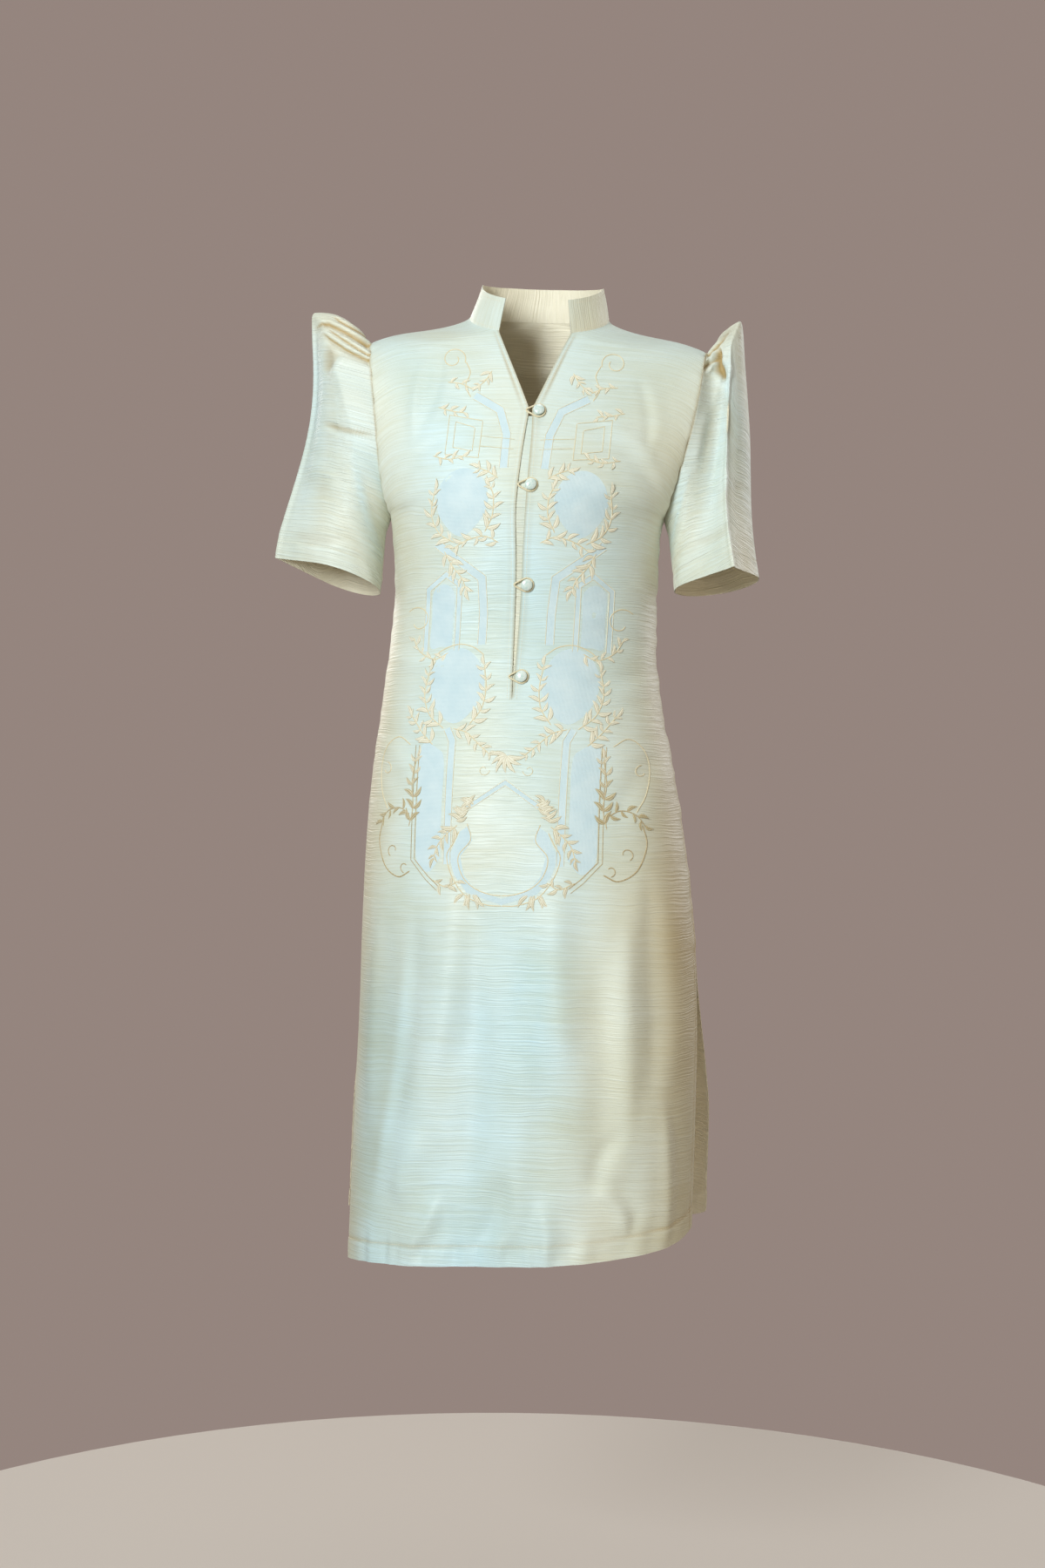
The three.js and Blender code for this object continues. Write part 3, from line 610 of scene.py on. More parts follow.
# Overlapping pleats at the caps. Each line is a folded edge over (x outward, z), from the
# armhole out to the peak; below it the cloth drops to the next layer and rises again.
SLEEVE_FOLDS = {
    "sleeve_wearer_right": (
        dict(face=1, drop=2.0, width=5, line=((164, -24), (176, -15), (187, -10), (201, -3), (212, 4))),
        dict(face=1, drop=4.6, width=11, line=((164, -29), (170, -26), (182, -19.5), (192, -14.5), (202, -10),
                                               (213, -5), (221, -5), (232, -11))),
        dict(face=1, drop=3.2, width=6, line=((164, -41), (170, -38), (178, -33.5), (187, -28.5), (196, -23),
                                              (205, -17), (215, -10))),
        dict(face=1, drop=4.4, width=12, line=((164, -46), (171, -43), (182, -38.5), (193, -33), (202, -27),
                                               (210, -22), (221, -15))),
        dict(face=-1, drop=3.6, width=9, line=((166, -22), (180, -14), (194, -5), (208, 2), (222, 3))),
        dict(face=-1, drop=3.0, width=8, line=((165, -31), (178, -25), (192, -15), (206, -6), (216, -2))),
        dict(face=-1, drop=3.8, width=12, line=((163, -41), (176, -36), (190, -28), (203, -18), (213, -9))),
    ),
    "sleeve_wearer_left": (
        dict(face=1, drop=3.4, width=7, line=((164, -32), (170, -26), (176, -19), (182, -12.5), (190, -4))),
        dict(face=-1, drop=3.2, width=8, line=((165, -34), (176, -26), (188, -14), (200, -6))),
        dict(face=-1, drop=3.6, width=11, line=((165, -46), (176, -38), (188, -26), (200, -14))),
    ),
}


def fold_field(folds, face, x, z):
    """Height of the overlapping pleats on one face, and how deep under a fold a point lies."""
    height, under = np.zeros_like(x), np.zeros_like(x)
    for fold in folds:
        if fold["face"] != face:
            continue
        line = np.array(fold["line"], float)
        below = np.interp(x, line[:, 0], line[:, 1]) - z
        shown = smooth((line[-1, 0] - x) / 9)
        lip = hill(below, -1.3, 1.5)
        drop = clamp01(below / 1.3) * (1 - smooth(below / fold["width"]))
        height = height + shown * (1.3 * lip - fold["drop"] * drop)
        core = hill(below, 1.3, 1.1)
        wide = clamp01(below / 0.8) * (1 - smooth(below / (0.8 * fold["width"])))
        under = under + shown * (0.55 * core + 0.45 * wide)
    return height, clamp01(under)


def build_sleeve(name, material):
    sleeve = SLEEVES[name]
    peak, crease = sleeve["peak"], sleeve["crease"]
    start = armhole_curve(TURNS)
    end = hem_point(sleeve, TURNS)
    spread = np.where(TURNS > peak["turn"], peak["spread_front"], peak["spread_back"])
    bell = hill(TURNS, peak["turn"], spread)
    knee = plain_knee(start, end)
    at_peak = np.array([float(peak["turn"])])
    top = plain_knee(armhole_curve(at_peak), hem_point(sleeve, at_peak))[0]
    knee = knee + (np.array([peak["x"], peak["y"], peak["z"]]) - top) * bell[:, None]
    sewn = start - unit(knee - start) * TUCK
    start = start + unit(knee - start) * SEAM
    start[:, 0] += sleeve["arm"]["clearance"]
    rows = []
    for t in CAP_STEPS:
        row = mix(start, knee, t)
        row[:, 2] += peak["arch"] * bell * np.sin(np.pi * t)
        rows.append(row)
    for t in FALL_STEPS:
        bent = t ** mix(1, crease["bend"], bell)
        hollow = (crease["hollow"] * np.sin(np.pi * min(1, t / crease["hollow_end"]))
                  * hill(TURNS, 0, CREASE_SPREAD))
        rows.append(vec(mix(knee[:, 0], end[:, 0], bent) - hollow, mix(knee[:, 1], end[:, 1], t),
                        mix(knee[:, 2], end[:, 2], t)))
    rows[0] = sewn
    base = np.array(rows)
    # the knee is a soft bend: the lines are eased a little where they turn
    for _ in range(5):
        ease(base, hill(np.arange(1, len(base) - 1), len(CAP_STEPS), 6.0)[:, None, None])
    base[:, -1] = base[:, 0]
    behind = smooth(-TURNS / 12) * smooth((90 + TURNS) / 60)
    slope = GRAIN_SLOPE[name] * (1 + 1.6 * behind)
    grain = base[..., 2] + slope * hem_drop(sleeve, base[..., 0], base[..., 1])
    u = run_of(base, 1)
    u = u - u[:, MIDDLE:MIDDLE + 1]
    down = -run_of(base)
    relief = np.zeros_like(u)
    # painted shade along the armhole seam
    shade = 0.6 * hill(down, 0, 1.8)
    creases = SLEEVE_CREASES[name]
    facing = np.sin(rad(TURNS + crease["angle"] * (1 - np.abs(TURNS) / 180)))[None, :]
    for face in (1, -1):
        chosen = {k: v[creases["face"] == face] for k, v in creases.items()}
        shown = smooth(face * facing * 2.2)
        dent = crease_field(chosen, base[..., 0], base[..., 2])
        height, under = fold_field(SLEEVE_FOLDS[name], face, base[..., 0], base[..., 2])
        on_top = smooth(0.5 + face * facing * 4)
        relief += dent * shown + height * on_top
        # painted shade under each pleat's folded edge and in the creases' troughs
        shade += under * on_top + clamp01(-dent / 5) * shown
    to_hem = down - down[-1:]
    relief += 0.3 * (1 - smooth((to_hem - SLEEVE_HEM) / 2)) - 0.6 * hill(to_hem, SLEEVE_HEM, 1.5)
    relief += wave(u, (23, 0.25, 0.4), (41, 0.35, 1.7)) * hill(to_hem, 10, 12)
    # the pressed crease stands up as a fine ridge below the peak
    pressed = np.concatenate([np.zeros(len(CAP_STEPS)), smooth(FALL_STEPS / 0.12)])[:, None]
    relief += pressed * (1.3 * hill(u, 0, 2.2) - 0.5 * hill(np.abs(u), 6, 3))
    relief[:, -1] = relief[:, 0]
    for _ in range(2):
        ease(relief)
        ease(relief.T)
    relief *= smooth(-down / 2)
    flip = sleeve["side"] < 0
    base[..., 0] *= sleeve["side"]
    wrap = np.concatenate([base[:, -2:-1], base, base[:, 1:2]], 1)
    normals = grid_normals(wrap, not flip)[:, 1:-1]
    p = base + normals * relief[..., None]
    p[:, -1] = p[:, 0]
    CREATED[(name, 0)] = (p, normals)
    return shell(name + "_cloth", [(p, np.stack([u, grain], -1), flip, shade)], CLOTH, material)


# ---------------------------------------------------------------- stand collar
def build_collar(material):
    corner = NECK["front_corner"]
    half = np.linspace(corner, 180, 76)
    turns = np.concatenate([half, -half[-2::-1]])
    lean = COLLAR["lean"] / NECK["half_width"]
    foot = neck_foot(np.abs(turns))
    foot[:, 0] *= np.sign(turns)
    foot[:, 2] += COLLAR["lift"]
    top = foot * np.array([1 - lean, 1 - lean * 0.4, 1])
    top[:, 2] = foot[:, 2] + COLLAR["height"] - COLLAR["lift"]
    foot[:, 2] -= TUCK
    shares = np.linspace(0, 1, 19)
    base = np.array([mix(top, foot, t) for t in shares])
    normals = grid_normals(base, True)
    outward = np.sign(np.sum(normals * (base * [1, 1, 0]), -1, keepdims=True))
    normals = normals * outward
    u = run_of(foot)
    down = COLLAR["height"] * shares[:, None]
    ripple = wave(u[None, :], (31, 0.3, 0.5), (57, 0.5, 1.2), (13, 0.1, 0.0))
    ripple = ripple * np.sin(np.pi * shares)[:, None]
    ends = np.minimum(u, u[-1] - u)[None, :]
    edge = np.minimum(down, ends)
    past = edge - COLLAR["edge"]
    relief = ripple + 0.25 * (1 - smooth(past / 1.5)) - 0.3 * hill(past, 0, 1.0)
    p = base + normals * relief[..., None]
    cloth = np.stack(np.broadcast_arrays(down, u), -1)
    CREATED[("collar", 0)] = (p, normals)
    return shell("stand_collar_cloth", [(p, cloth, True, 0 * p[..., 0])], COLLAR["thickness"], material)


# ---------------------------------------------------------------- materials
class Surface:
    """A material made of nodes round one Principled shader."""

    def __init__(self, name):
        self.material = bpy.data.materials.new(name)
        self.material.use_nodes = True
        self.tree = self.material.node_tree
        self.shader = self.tree.nodes["Principled BSDF"]

    def put(self, socket, value):
        """Sets a socket's own value, or links another node's output to it."""
        if isinstance(value, bpy.types.NodeSocket):
            self.tree.links.new(value, socket)
        else:
            socket.default_value = value

    def node(self, kind, sockets, **settings):
        n = self.tree.nodes.new("ShaderNode" + kind)
        for key, value in settings.items():
            setattr(n, key, value)
        for key, value in sockets.items():
            self.put(n.inputs[key], value)
        return n

    def cloth(self):
        """The place on the flat cloth, and its three parts apart."""
        place = self.node("Attribute", {}, attribute_name="cloth").outputs["Vector"]
        return place, self.node("SeparateXYZ", {0: place}).outputs

    def maths(self, operation, *values):
        return self.node("Math", dict(enumerate(values)), operation=operation).outputs[0]

    def sum_of(self, *parts):
        """Sum of values, each times its share."""
        total = self.maths("MULTIPLY", *parts[0])
        for value, share in parts[1:]:
            total = self.maths("MULTIPLY_ADD", value, share, total)
        return total

    def ranged(self, value, low, high, start=0.0, end=1.0, **settings):
        """From low to high the value turns from start to end."""
        return self.node("MapRange", dict(enumerate((value, low, high, start, end))), **settings).outputs[0]

    def noise(self, place, scale, detail, out="Fac", stretch=None, **more):
        """Soft noise, stretched by three numbers where they are given."""
        if stretch:
            place = self.node("VectorMath", {0: place, 1: stretch}, operation="MULTIPLY").outputs[0]
        return self.node("TexNoise", {"Vector": place, "Scale": scale, "Detail": detail, **more}).outputs[out]

    def ramp(self, value, *stops):
        n = self.node("ValToRGB", {"Fac": value})
        for element, (at, colour) in zip(n.color_ramp.elements, stops):
            element.position = at
            element.color = (*colour, 1)
        return n.outputs["Color"]

    def tint(self, colour, share, other, blend_type="MULTIPLY"):
        n = self.node("Mix", {}, data_type="RGBA", blend_type=blend_type)
        for key, value in (("Factor", share), ("A", colour), ("B", (*other, 1))):
            self.put(n.inputs[key], value)
        return n.outputs["Result"]

    def finished(self, colour, roughness, height, relief, strength=1.0, invert=False, **gloss):
        """Fills the shader; relief is the bump's distance in metres."""
        bump = self.node("Bump", {"Strength": strength, "Distance": relief, "Height": height}, invert=invert)
        self.put(self.shader.inputs["Base Color"], colour)
        self.put(self.shader.inputs["Roughness"], roughness)
        self.put(self.shader.inputs["Normal"], bump.outputs[0])
        for key, value in gloss.items():
            self.shader.inputs[key.replace("_", " ")].default_value = value
        return self.material


# The painted cool highlight down the middle of a panel moves over to the wearer's right below the waist and
# grows there, in metres.
SKIRT_PAINTED_SHEEN = dict(from_y=-0.34, to_y=-0.50, shift=0.06, more=0.3)
# warm brown multiplied in as painted shade, as much as the "hollow" attribute says
PAINTED_SHADE_TINT = (0.62, 0.42, 0.20)
# Threads a metre across and down the cloth, and the noise's detail.
WEAVE = dict(weft=(9.0, 560.0, 2.0), thick=(22.0, 300.0, 1.0), fine=(60.0, 1500.0, 1.0),
             warp=(1500.0, 30.0, 1.0))


def silk(name, light, deep, slub=1.0, inside=None, painted_sheen=None, painted_sheen_half=0.0, folds=False, sway=0.006):
    """Slubbed silk: uneven weft threads across, faint warp, a soft sheen, a painted cool highlight in patches
    and, with folds, painted shade from the "hollow" attribute.
    """
    s = Surface(name)
    place, apart = s.cloth()
    drift = s.noise(place, 16.0, 2.0, "Color")
    sway = {0: drift, 1: (0.0, sway, 0.0), 2: place}
    wavy = s.node("VectorMath", sway, operation="MULTIPLY_ADD").outputs[0]
    weft, thick, fine, warp = (s.noise(wavy, 1.0, detail, stretch=(across, down, 0.0), Roughness=0.55)
                               for across, down, detail in WEAVE.values())
    slubs = s.ranged(thick, 0.58, 0.76)
    ribs = s.ranged(weft, 0.36, 0.64)
    tone = s.sum_of((ribs, 0.21), (slubs, 0.1), (s.noise(place, 11.0, 3.0), 0.9))
    colour = s.ramp(tone, (0.2, deep), (0.8, light))
    # painted cool highlight: a cyan tint multiplied in, in random patches, on panels strongest down the
    # middle and over the lower skirt
    if painted_sheen:
        patches = s.noise(place, 7.5, 1.5, stretch=(1.0, 0.55, 0.0))
        share = s.ranged(patches, 0.32, 0.70, 0.0, 0.9 if painted_sheen_half else 0.7)
        if painted_sheen_half:
            lower = s.ranged(apart["Y"], SKIRT_PAINTED_SHEEN["from_y"], SKIRT_PAINTED_SHEEN["to_y"])
            moved = s.maths("MULTIPLY_ADD", lower, SKIRT_PAINTED_SHEEN["shift"], apart["X"])
            away = s.ranged(s.maths("ABSOLUTE", moved), painted_sheen_half * 0.45, painted_sheen_half, 1.0, 0.3,
                            interpolation_type="SMOOTHSTEP")
            share = s.maths("MULTIPLY_ADD", share, 0.55, 0.4)
            share = s.maths("MULTIPLY_ADD", lower, SKIRT_PAINTED_SHEEN["more"], share)
            share = s.maths("MULTIPLY", share, away)
        colour = s.tint(colour, share, painted_sheen)
    # painted shade: the "hollow" attribute multiplies a warm brown into the colour
    if folds:
        hollow = s.node("Attribute", {}, attribute_name="hollow").outputs["Fac"]
        colour = s.tint(colour, hollow, PAINTED_SHADE_TINT)
    if inside:
        colour = s.tint(colour, apart["Z"], inside, "MIX")
    height = s.sum_of((ribs, 0.8 * slub), (slubs, 0.5 * slub), (fine, 0.22), (warp, 0.1))
    return s.finished(colour, s.ranged(weft, 0.0, 1.0, 0.58, 0.36), height, 0.0008,
                      Sheen_Weight=0.2, Sheen_Roughness=0.35, Specular_IOR_Level=0.6)


def thread(name, light, deep):
    """Satin stitches: fine threads side by side across each stitched shape."""
    s = Surface(name)
    place, apart = s.cloth()
    strands = s.noise(place, 1.0, 1.0, stretch=(2600.0, 260.0, 40.0))
    # the third place deepens the colour: at leaf edges and midribs, and by the painted shade on the lowest
    # sprays
    body = s.maths("MULTIPLY_ADD", apart["Z"], -0.5, 0.42)
    colour = s.ramp(s.maths("MULTIPLY_ADD", strands, 0.6, body), (0.35, deep), (0.62, light))
    return s.finished(colour, s.ranged(strands, 0.0, 1.0, 0.45, 0.3), strands, 0.00025, 0.7, Sheen_Weight=0.2)


NET_CELL = 0.0021          # metres from thread to thread


def net(name, light, deep):
    """Drawn threads: a fine open grid over the cooler ground."""
    s = Surface(name)
    place, apart = s.cloth()
    turns = 2 * np.pi / NET_CELL
    lines = [s.maths("ABSOLUTE", s.maths("SINE", s.maths("MULTIPLY", apart[part], turns))) for part in "XY"]
    hole = s.maths("MULTIPLY", *lines)
    tone = s.maths("MULTIPLY_ADD", s.noise(place, 45.0, 2.0), 0.7, s.maths("MULTIPLY", hole, 0.4))
    colour = s.ramp(tone, (0.2, light), (0.85, deep))
    return s.finished(colour, s.ranged(hole, 0.0, 1.0, 0.5, 0.65), hole, 0.0004, 0.6, invert=True)


def pearl(name, light, deep):
    s = Surface(name)
    place = s.node("TexCoord", {}).outputs["Object"]
    swirl = s.noise(place, 220.0, 2.0, Distortion=1.5)
    return s.finished(s.ramp(swirl, (0.3, deep), (0.68, light)), s.ranged(swirl, 0.0, 1.0, 0.12, 0.22), swirl,
                      0.0003, 0.15, Coat_Weight=0.7, Coat_Roughness=0.06, Specular_IOR_Level=0.6)


SILK_TONES = dict(light=(0.89, 0.87, 0.72), deep=(0.76, 0.68, 0.46))
WARM_TONES = dict(light=(0.89, 0.88, 0.74), deep=(0.77, 0.69, 0.48))
INSIDE = (0.93, 0.86, 0.68)
# cyan tints of the painted cool highlight, standing in for the cool key light's sheen; fainter on the back
PAINTED_SHEEN = (0.73, 1.0, 1.34)
PAINTED_SHEEN_BACK = (0.90, 1.0, 1.08)
silk_front = silk("silk_front", **SILK_TONES, slub=0.38, inside=INSIDE, painted_sheen=PAINTED_SHEEN, painted_sheen_half=0.17,
                  folds=True, sway=0.011)
silk_back = silk("silk_back", **SILK_TONES, slub=0.38, inside=INSIDE, painted_sheen=PAINTED_SHEEN_BACK, painted_sheen_half=0.16,
                 folds=True, sway=0.011)
silk_collar = silk("silk_collar", **SILK_TONES, slub=0.35, inside=INSIDE, painted_sheen=PAINTED_SHEEN)
silk_sleeve = silk("silk_sleeve", **WARM_TONES, slub=0.7, inside=INSIDE, painted_sheen=PAINTED_SHEEN, folds=True)
silk_underlap = silk("silk_underlap", **SILK_TONES, slub=0.7, painted_sheen=PAINTED_SHEEN)
satin_thread = thread("satin_thread", (0.96, 0.93, 0.78), (0.46, 0.35, 0.15))
cord_thread = thread("cord_thread", (0.80, 0.70, 0.48), (0.42, 0.31, 0.15))
seam_thread = thread("seam_thread", (0.84, 0.78, 0.60), (0.60, 0.50, 0.33))
drawn_net = net("drawn_net", (0.80, 0.92, 0.95), (0.58, 0.76, 0.84))
pearl_shell = pearl("pearl_shell", (0.86, 0.92, 0.88), (0.56, 0.74, 0.70))

front = build_panel("front_cloth", "front", silk_front)
back = build_panel("back_cloth", "back", silk_back)
collar = build_collar(silk_collar)
right_sleeve = build_sleeve("sleeve_wearer_right", silk_sleeve)
left_sleeve = build_sleeve("sleeve_wearer_left", silk_sleeve)


# ---------------------------------------------------------------- places on the finished front
def searcher(panel):
    """A search tree of the outer face of a panel, before the stance."""
    points, faces = [], []
    for side in (-1, 1):
        p = CREATED[(panel, side)][0]
        faces.extend(grid_quads(np.arange(p[..., 0].size).reshape(p.shape[:2]) + len(points)).tolist())
        points.extend(p.reshape(-1, 3).tolist())
    return BVHTree.FromPolygons(points, faces)


front_tree = searcher("front")


def on_front(x, z, lift=0.0):
    """Point and outward normal of the finished front at (x, z), raised by lift."""
    hit, normal, _, _ = front_tree.ray_cast(Vector((x, -400, z)), Vector((0, 1, 0)))
    if hit is None:
        # over the open slit a place lies between the slit's two edges
        gap = float(column(SLOT, "half_gap", z)) + CLOTH
        edges = [on_front(side * gap, z, lift) for side in (-1, 1)]
        return tuple(mix(a, b, clamp01(x / gap / 2 + 0.5)) for a, b in zip(*edges))
    if normal.y > 0:
        normal = -normal
    return np.array(hit + normal * lift), np.array(normal)


TUBE_END = 0.35            # share of a thread's width left at its ends
NET_LIFT, NET_DEPTH = 0.12, 0.3
NET_STEP, NET_COLUMN = 2.2, 2.4


class Parts:
    """Many small closed forms kept as one mesh, each with its own places on the thread."""

    def __init__(self):
        self.points, self.faces, self.cloth = [], [], []

    def add(self, points, faces, cloth):
        start = len(self.points)
        self.points.extend(np.asarray(points, float).tolist())
        self.faces.extend([[v + start for v in f] for f in faces])
        self.cloth.extend(np.asarray(cloth, float).tolist())

    def build(self, name, material, angle=60):
        ob = new_object(name, posed(np.array(self.points)), self.faces, material, angle)
        set_cloth(ob, self.cloth)
        return ob


def tube(parts, points, normals, wide, tall, sides=6, closed=False, twist=0.0, place=0.0, tone=0.0):
    """A thread laid along points, flat on its normals; wide and tall are half sizes."""
    points = np.asarray(points, float)
    count = len(points)
    if closed:
        ahead = unit(np.roll(points, -1, 0) - np.roll(points, 1, 0))
    else:
        ahead = unit(np.gradient(points, axis=0))
    normals = unit(np.asarray(normals, float))
    sideways = unit(np.cross(ahead, normals))
    angles = np.arange(sides) * 2 * np.pi / sides
    ring = (points[:, None] + sideways[:, None] * (wide * np.cos(angles))[None, :, None]
            + normals[:, None] * (tall * np.sin(angles))[None, :, None])
    ids = np.arange(count * sides).reshape(count, sides)
    around = np.column_stack([ids, ids[:, 0]])
    if closed:
        faces = grid_quads(np.concatenate([around, around[:1]]))[:, ::-1].tolist()
    else:
        ring[[0, -1]] = mix(points[[0, -1], None], ring[[0, -1]], TUBE_END)
        faces = grid_quads(around)[:, ::-1].tolist() + [ids[0].tolist(), ids[-1][::-1].tolist()]
    along = run_of(points)[:, None] + twist * angles
    cloth = np.stack(np.broadcast_arrays(along, place + angles * wide, tone), -1)
    parts.add(ring.reshape(-1, 3), faces, cloth.reshape(-1, 3))


def smooth_line(corners, step=1.4):
    """A smooth line through a few corners, sampled evenly."""
    c = np.asarray(corners, float)
    if len(c) == 2:
        count = max(2, int(np.linalg.norm(c[1] - c[0]) / step) + 1)
        return mix(c[0], c[1], np.linspace(0, 1, count)[:, None])
    padded = np.concatenate([[2 * c[0] - c[1]], c, [2 * c[-1] - c[-2]]])
    line = []
    for i in range(len(c) - 1):
        a, b, d, e = padded[i:i + 4]
        count = max(2, int(np.linalg.norm(d - b) / step))
        t = np.arange(count)[:, None] / count
        line.append(0.5 * (2 * b + (d - a) * t + (2 * a - 5 * b + 4 * d - e) * t ** 2
                           + (3 * b - a - 3 * d + e) * t ** 3))
    return np.concatenate(line + [c[-1:]])


def laid(line, lift):
    """Points and normals of the front under a line of (x, z)."""
    return [np.array(found) for found in zip(*(on_front(x, z, lift) for x, z in line))]


def mirrored(line):
    return [(-x, z) for x, z in line]


stems, leaves, bars, nets = Parts(), Parts(), Parts(), Parts()


def painted_spray_shade(x, z):
    """Painted shade: the lowest sprays, most of all those at the sides, take a deeper thread colour, as the
    satin's sheen turns from the light.
    """
    return float(smooth((-z - 420) / 80) * mix(0.3, 1, smooth((abs(x) - 62) / 20)))


def stem(line, wide=0.55, tall=0.5, parts=stems, straight=False, both=True):
    """A corded line over the front, on both sides of its middle."""
    for run in ((line, mirrored(line)) if both else (line,)):
        path = smooth_line(run)
        if straight:
            path = np.concatenate([smooth_line(run[i:i + 2]) for i in range(len(run) - 1)])
        keep = np.concatenate([[True], np.linalg.norm(np.diff(path, axis=0), axis=1) > 0.2])
        points, normals = laid(path[keep], 0.1)
        tube(parts, points, normals, wide, tall, tone=0.6 * painted_spray_shade(*path.mean(0)))


LEAF_SIZE = 1.15
LEAF_RISE = 0.95


def leaf(x, z, angle, length, width, both=True):
    """A padded satin leaf from its foot, with a sunken midrib; the angle is from +x towards +z."""
    length, width = length * LEAF_SIZE, width * LEAF_SIZE
    along = np.linspace(0, 1, 9)
    across = np.array([-1, -0.6, 0, 0.6, 1])
    half = width / 2 * np.sin(np.pi * along ** 0.85) ** 0.8 * (1 - 0.25 * along)
    rise = np.array([0, 0.75, 0.42, 0.75, 0]) * np.sin(np.pi * along)[:, None] ** 0.6 * LEAF_RISE
    bend = 0.12 * length * np.sin(np.pi * along) * (1 if (int(x + z) % 2) else -1)
    ids = np.arange(45).reshape(9, 5)
    under = 45 + np.arange(9)
    faces = np.concatenate([grid_quads(ids)[:, ::-1], grid_quads(np.stack([ids[:, 0], under], 1)),
                            grid_quads(np.stack([under, ids[:, 4]], 1))]).tolist()
    flat_x = np.concatenate([np.repeat(along * length, 5), along * length])
    flat_y = np.concatenate([np.tile(across * width / 2, 9), np.zeros(9)])
    edge = np.concatenate([np.tile([0.9, 0.0, 0.45, 0.0, 0.9], 9), np.ones(9)])
    cloth = np.stack([flat_x + 0.8 * np.abs(flat_y), flat_y, edge + 0.4 * painted_spray_shade(x, z)], -1)
    for side in ((1, -1) if both else (1,)):
        at, normal = on_front(side * x, z, 0.05)
        ahead = np.array([side * np.cos(rad(angle)), 0, np.sin(rad(angle))])
        ahead = unit(ahead - normal * (ahead @ normal))
        sideways = np.cross(normal, ahead)
        middle = at + ahead * (along * length)[:, None] + sideways * bend[:, None]
        grid = middle[:, None] + sideways * (half[:, None] * across)[..., None] + normal * rise[..., None]
        leaves.add(np.concatenate([grid.reshape(-1, 3), middle - normal * 0.25]), faces, cloth)


def heading(path, k):
    """Direction of a path at its point k, in degrees."""
    ahead = path[min(k + 1, len(path) - 1)] - path[max(k - 1, 0)]
    return np.degrees(np.arctan2(ahead[1], ahead[0]))


def spray(line, count, length, width, tip=True):
    """A stem with leaves in pairs along it, a little unlike each other."""
    stem(line)
    path = smooth_line(line, 0.5)
    run = run_of(path)
    for i in range(count):
        share = mix(0.08, 0.93, i / (count - 1))
        k = min(int(np.searchsorted(run, share * run[-1])), len(path) - 2)
        size = mix(1.25, 0.75, share) * (1 + 0.12 * np.sin(2.3 * i + line[0][0]))
        for turn in (48, -48):
            leaf(*path[k], heading(path, k) + turn + 7 * np.sin(1.7 * i + turn), length * size, width * size)
    if tip:
        ahead = path[-1] - path[-4]
        leaf(*path[-1], np.degrees(np.arctan2(ahead[1], ahead[0])), length, width)


def garland(line, count, length, width):
    """A stem with single leaves that lean forward, now on one side, now on the other."""
    stem(line)
    path = smooth_line(line, 0.5)
    for i in range(count):
        k = min(int((i + 0.5) / count * len(path)), len(path) - 2)
        turn = (42 + 10 * np.sin(1.9 * i)) * (1 if i % 2 else -1)
        size = 1 + 0.15 * np.sin(2.7 * i + line[0][1])
        leaf(*path[k], heading(path, k) + turn, length * size, width * size)


def bar(corners, wide, both=True):
    """A geometric band: two raised edges with a padded ground between them."""
    for run in ((corners, mirrored(corners)) if both else (corners,)):
        run = np.asarray(run, float)
        legs = unit(np.diff(run, axis=0))
        ahead = unit(np.concatenate([[legs[0]], legs[:-1] + legs[1:], [legs[-1]]]))
        square = np.sqrt((1 + np.sum(legs[:-1] * legs[1:], 1)) / 2)
        reach = wide / 2 / np.concatenate([[1], np.maximum(0.5, square), [1]])
        off = np.stack([-ahead[:, 1], ahead[:, 0]], 1) * reach[:, None]
        for edge in (run + off, run - off):
            stem([tuple(p) for p in edge], 0.4, 0.42, bars, straight=True, both=False)
        patch(run + off, run - off)


def patch(left, right):
    """Net ground between two lines of corners."""
    left, right = np.asarray(left, float), np.asarray(right, float)
    rows = []
    for i in range(len(left) - 1):
        longer = max(np.linalg.norm(left[i + 1] - left[i]), np.linalg.norm(right[i + 1] - right[i]))
        count = max(1, int(longer / NET_STEP))
        for t in np.arange(count) / count:
            rows.append((mix(left[i], left[i + 1], t), mix(right[i], right[i + 1], t)))
    rows.append((left[-1], right[-1]))
    wide = max(np.linalg.norm(a - b) for a, b in rows)
    shares = np.linspace(0, 1, max(4, int(wide / NET_COLUMN)) + 1)
    net_grid(np.array([[mix(a, b, t) for t in shares] for a, b in rows]))


def net_grid(flat):
    """A closed net ground over a grid of (x, z), its underside sunk in the cloth."""
    top, low = (np.array([[on_front(x, z, lift)[0] for x, z in row] for row in flat])
                for lift in (NET_LIFT, -NET_DEPTH))
    size = flat[..., 0].size
    ids = np.arange(size).reshape(flat.shape[:2])
    outward = np.cross(top[0, 1] - top[0, 0], top[1, 0] - top[0, 0])[1] < 0
    cells = grid_quads(ids)
    rim = ids[0].tolist() + ids[1:, -1].tolist() + ids[-1, -2::-1].tolist() + ids[-2:0:-1, 0].tolist()
    walls = [[b, a, a + size, b + size] for a, b in zip(rim, rim[1:] + rim[:1])]
    faces = np.concatenate([cells, cells[:, ::-1] + size, walls])
    cloth = np.column_stack([flat.reshape(-1, 2), np.zeros(size)])
    nets.add(np.concatenate([top.reshape(-1, 3), low.reshape(-1, 3)]),
             (faces if outward else faces[:, ::-1]).tolist(), np.tile(cloth, (2, 1)))


def net_shape(centre_x, centre_z, outline, rings=7):
    """Net ground inside a closed outline of (x, z) offsets from its centre, on both sides."""
    for side in (1, -1):
        centre = np.array([side * centre_x, centre_z])
        out = np.asarray(outline, float) * [side, 1] + centre
        line = smooth_line(np.concatenate([out, out[:1]]), NET_STEP)
        net_grid(np.array([mix(centre, line, t) for t in np.linspace(0.01, 1, rings)]))


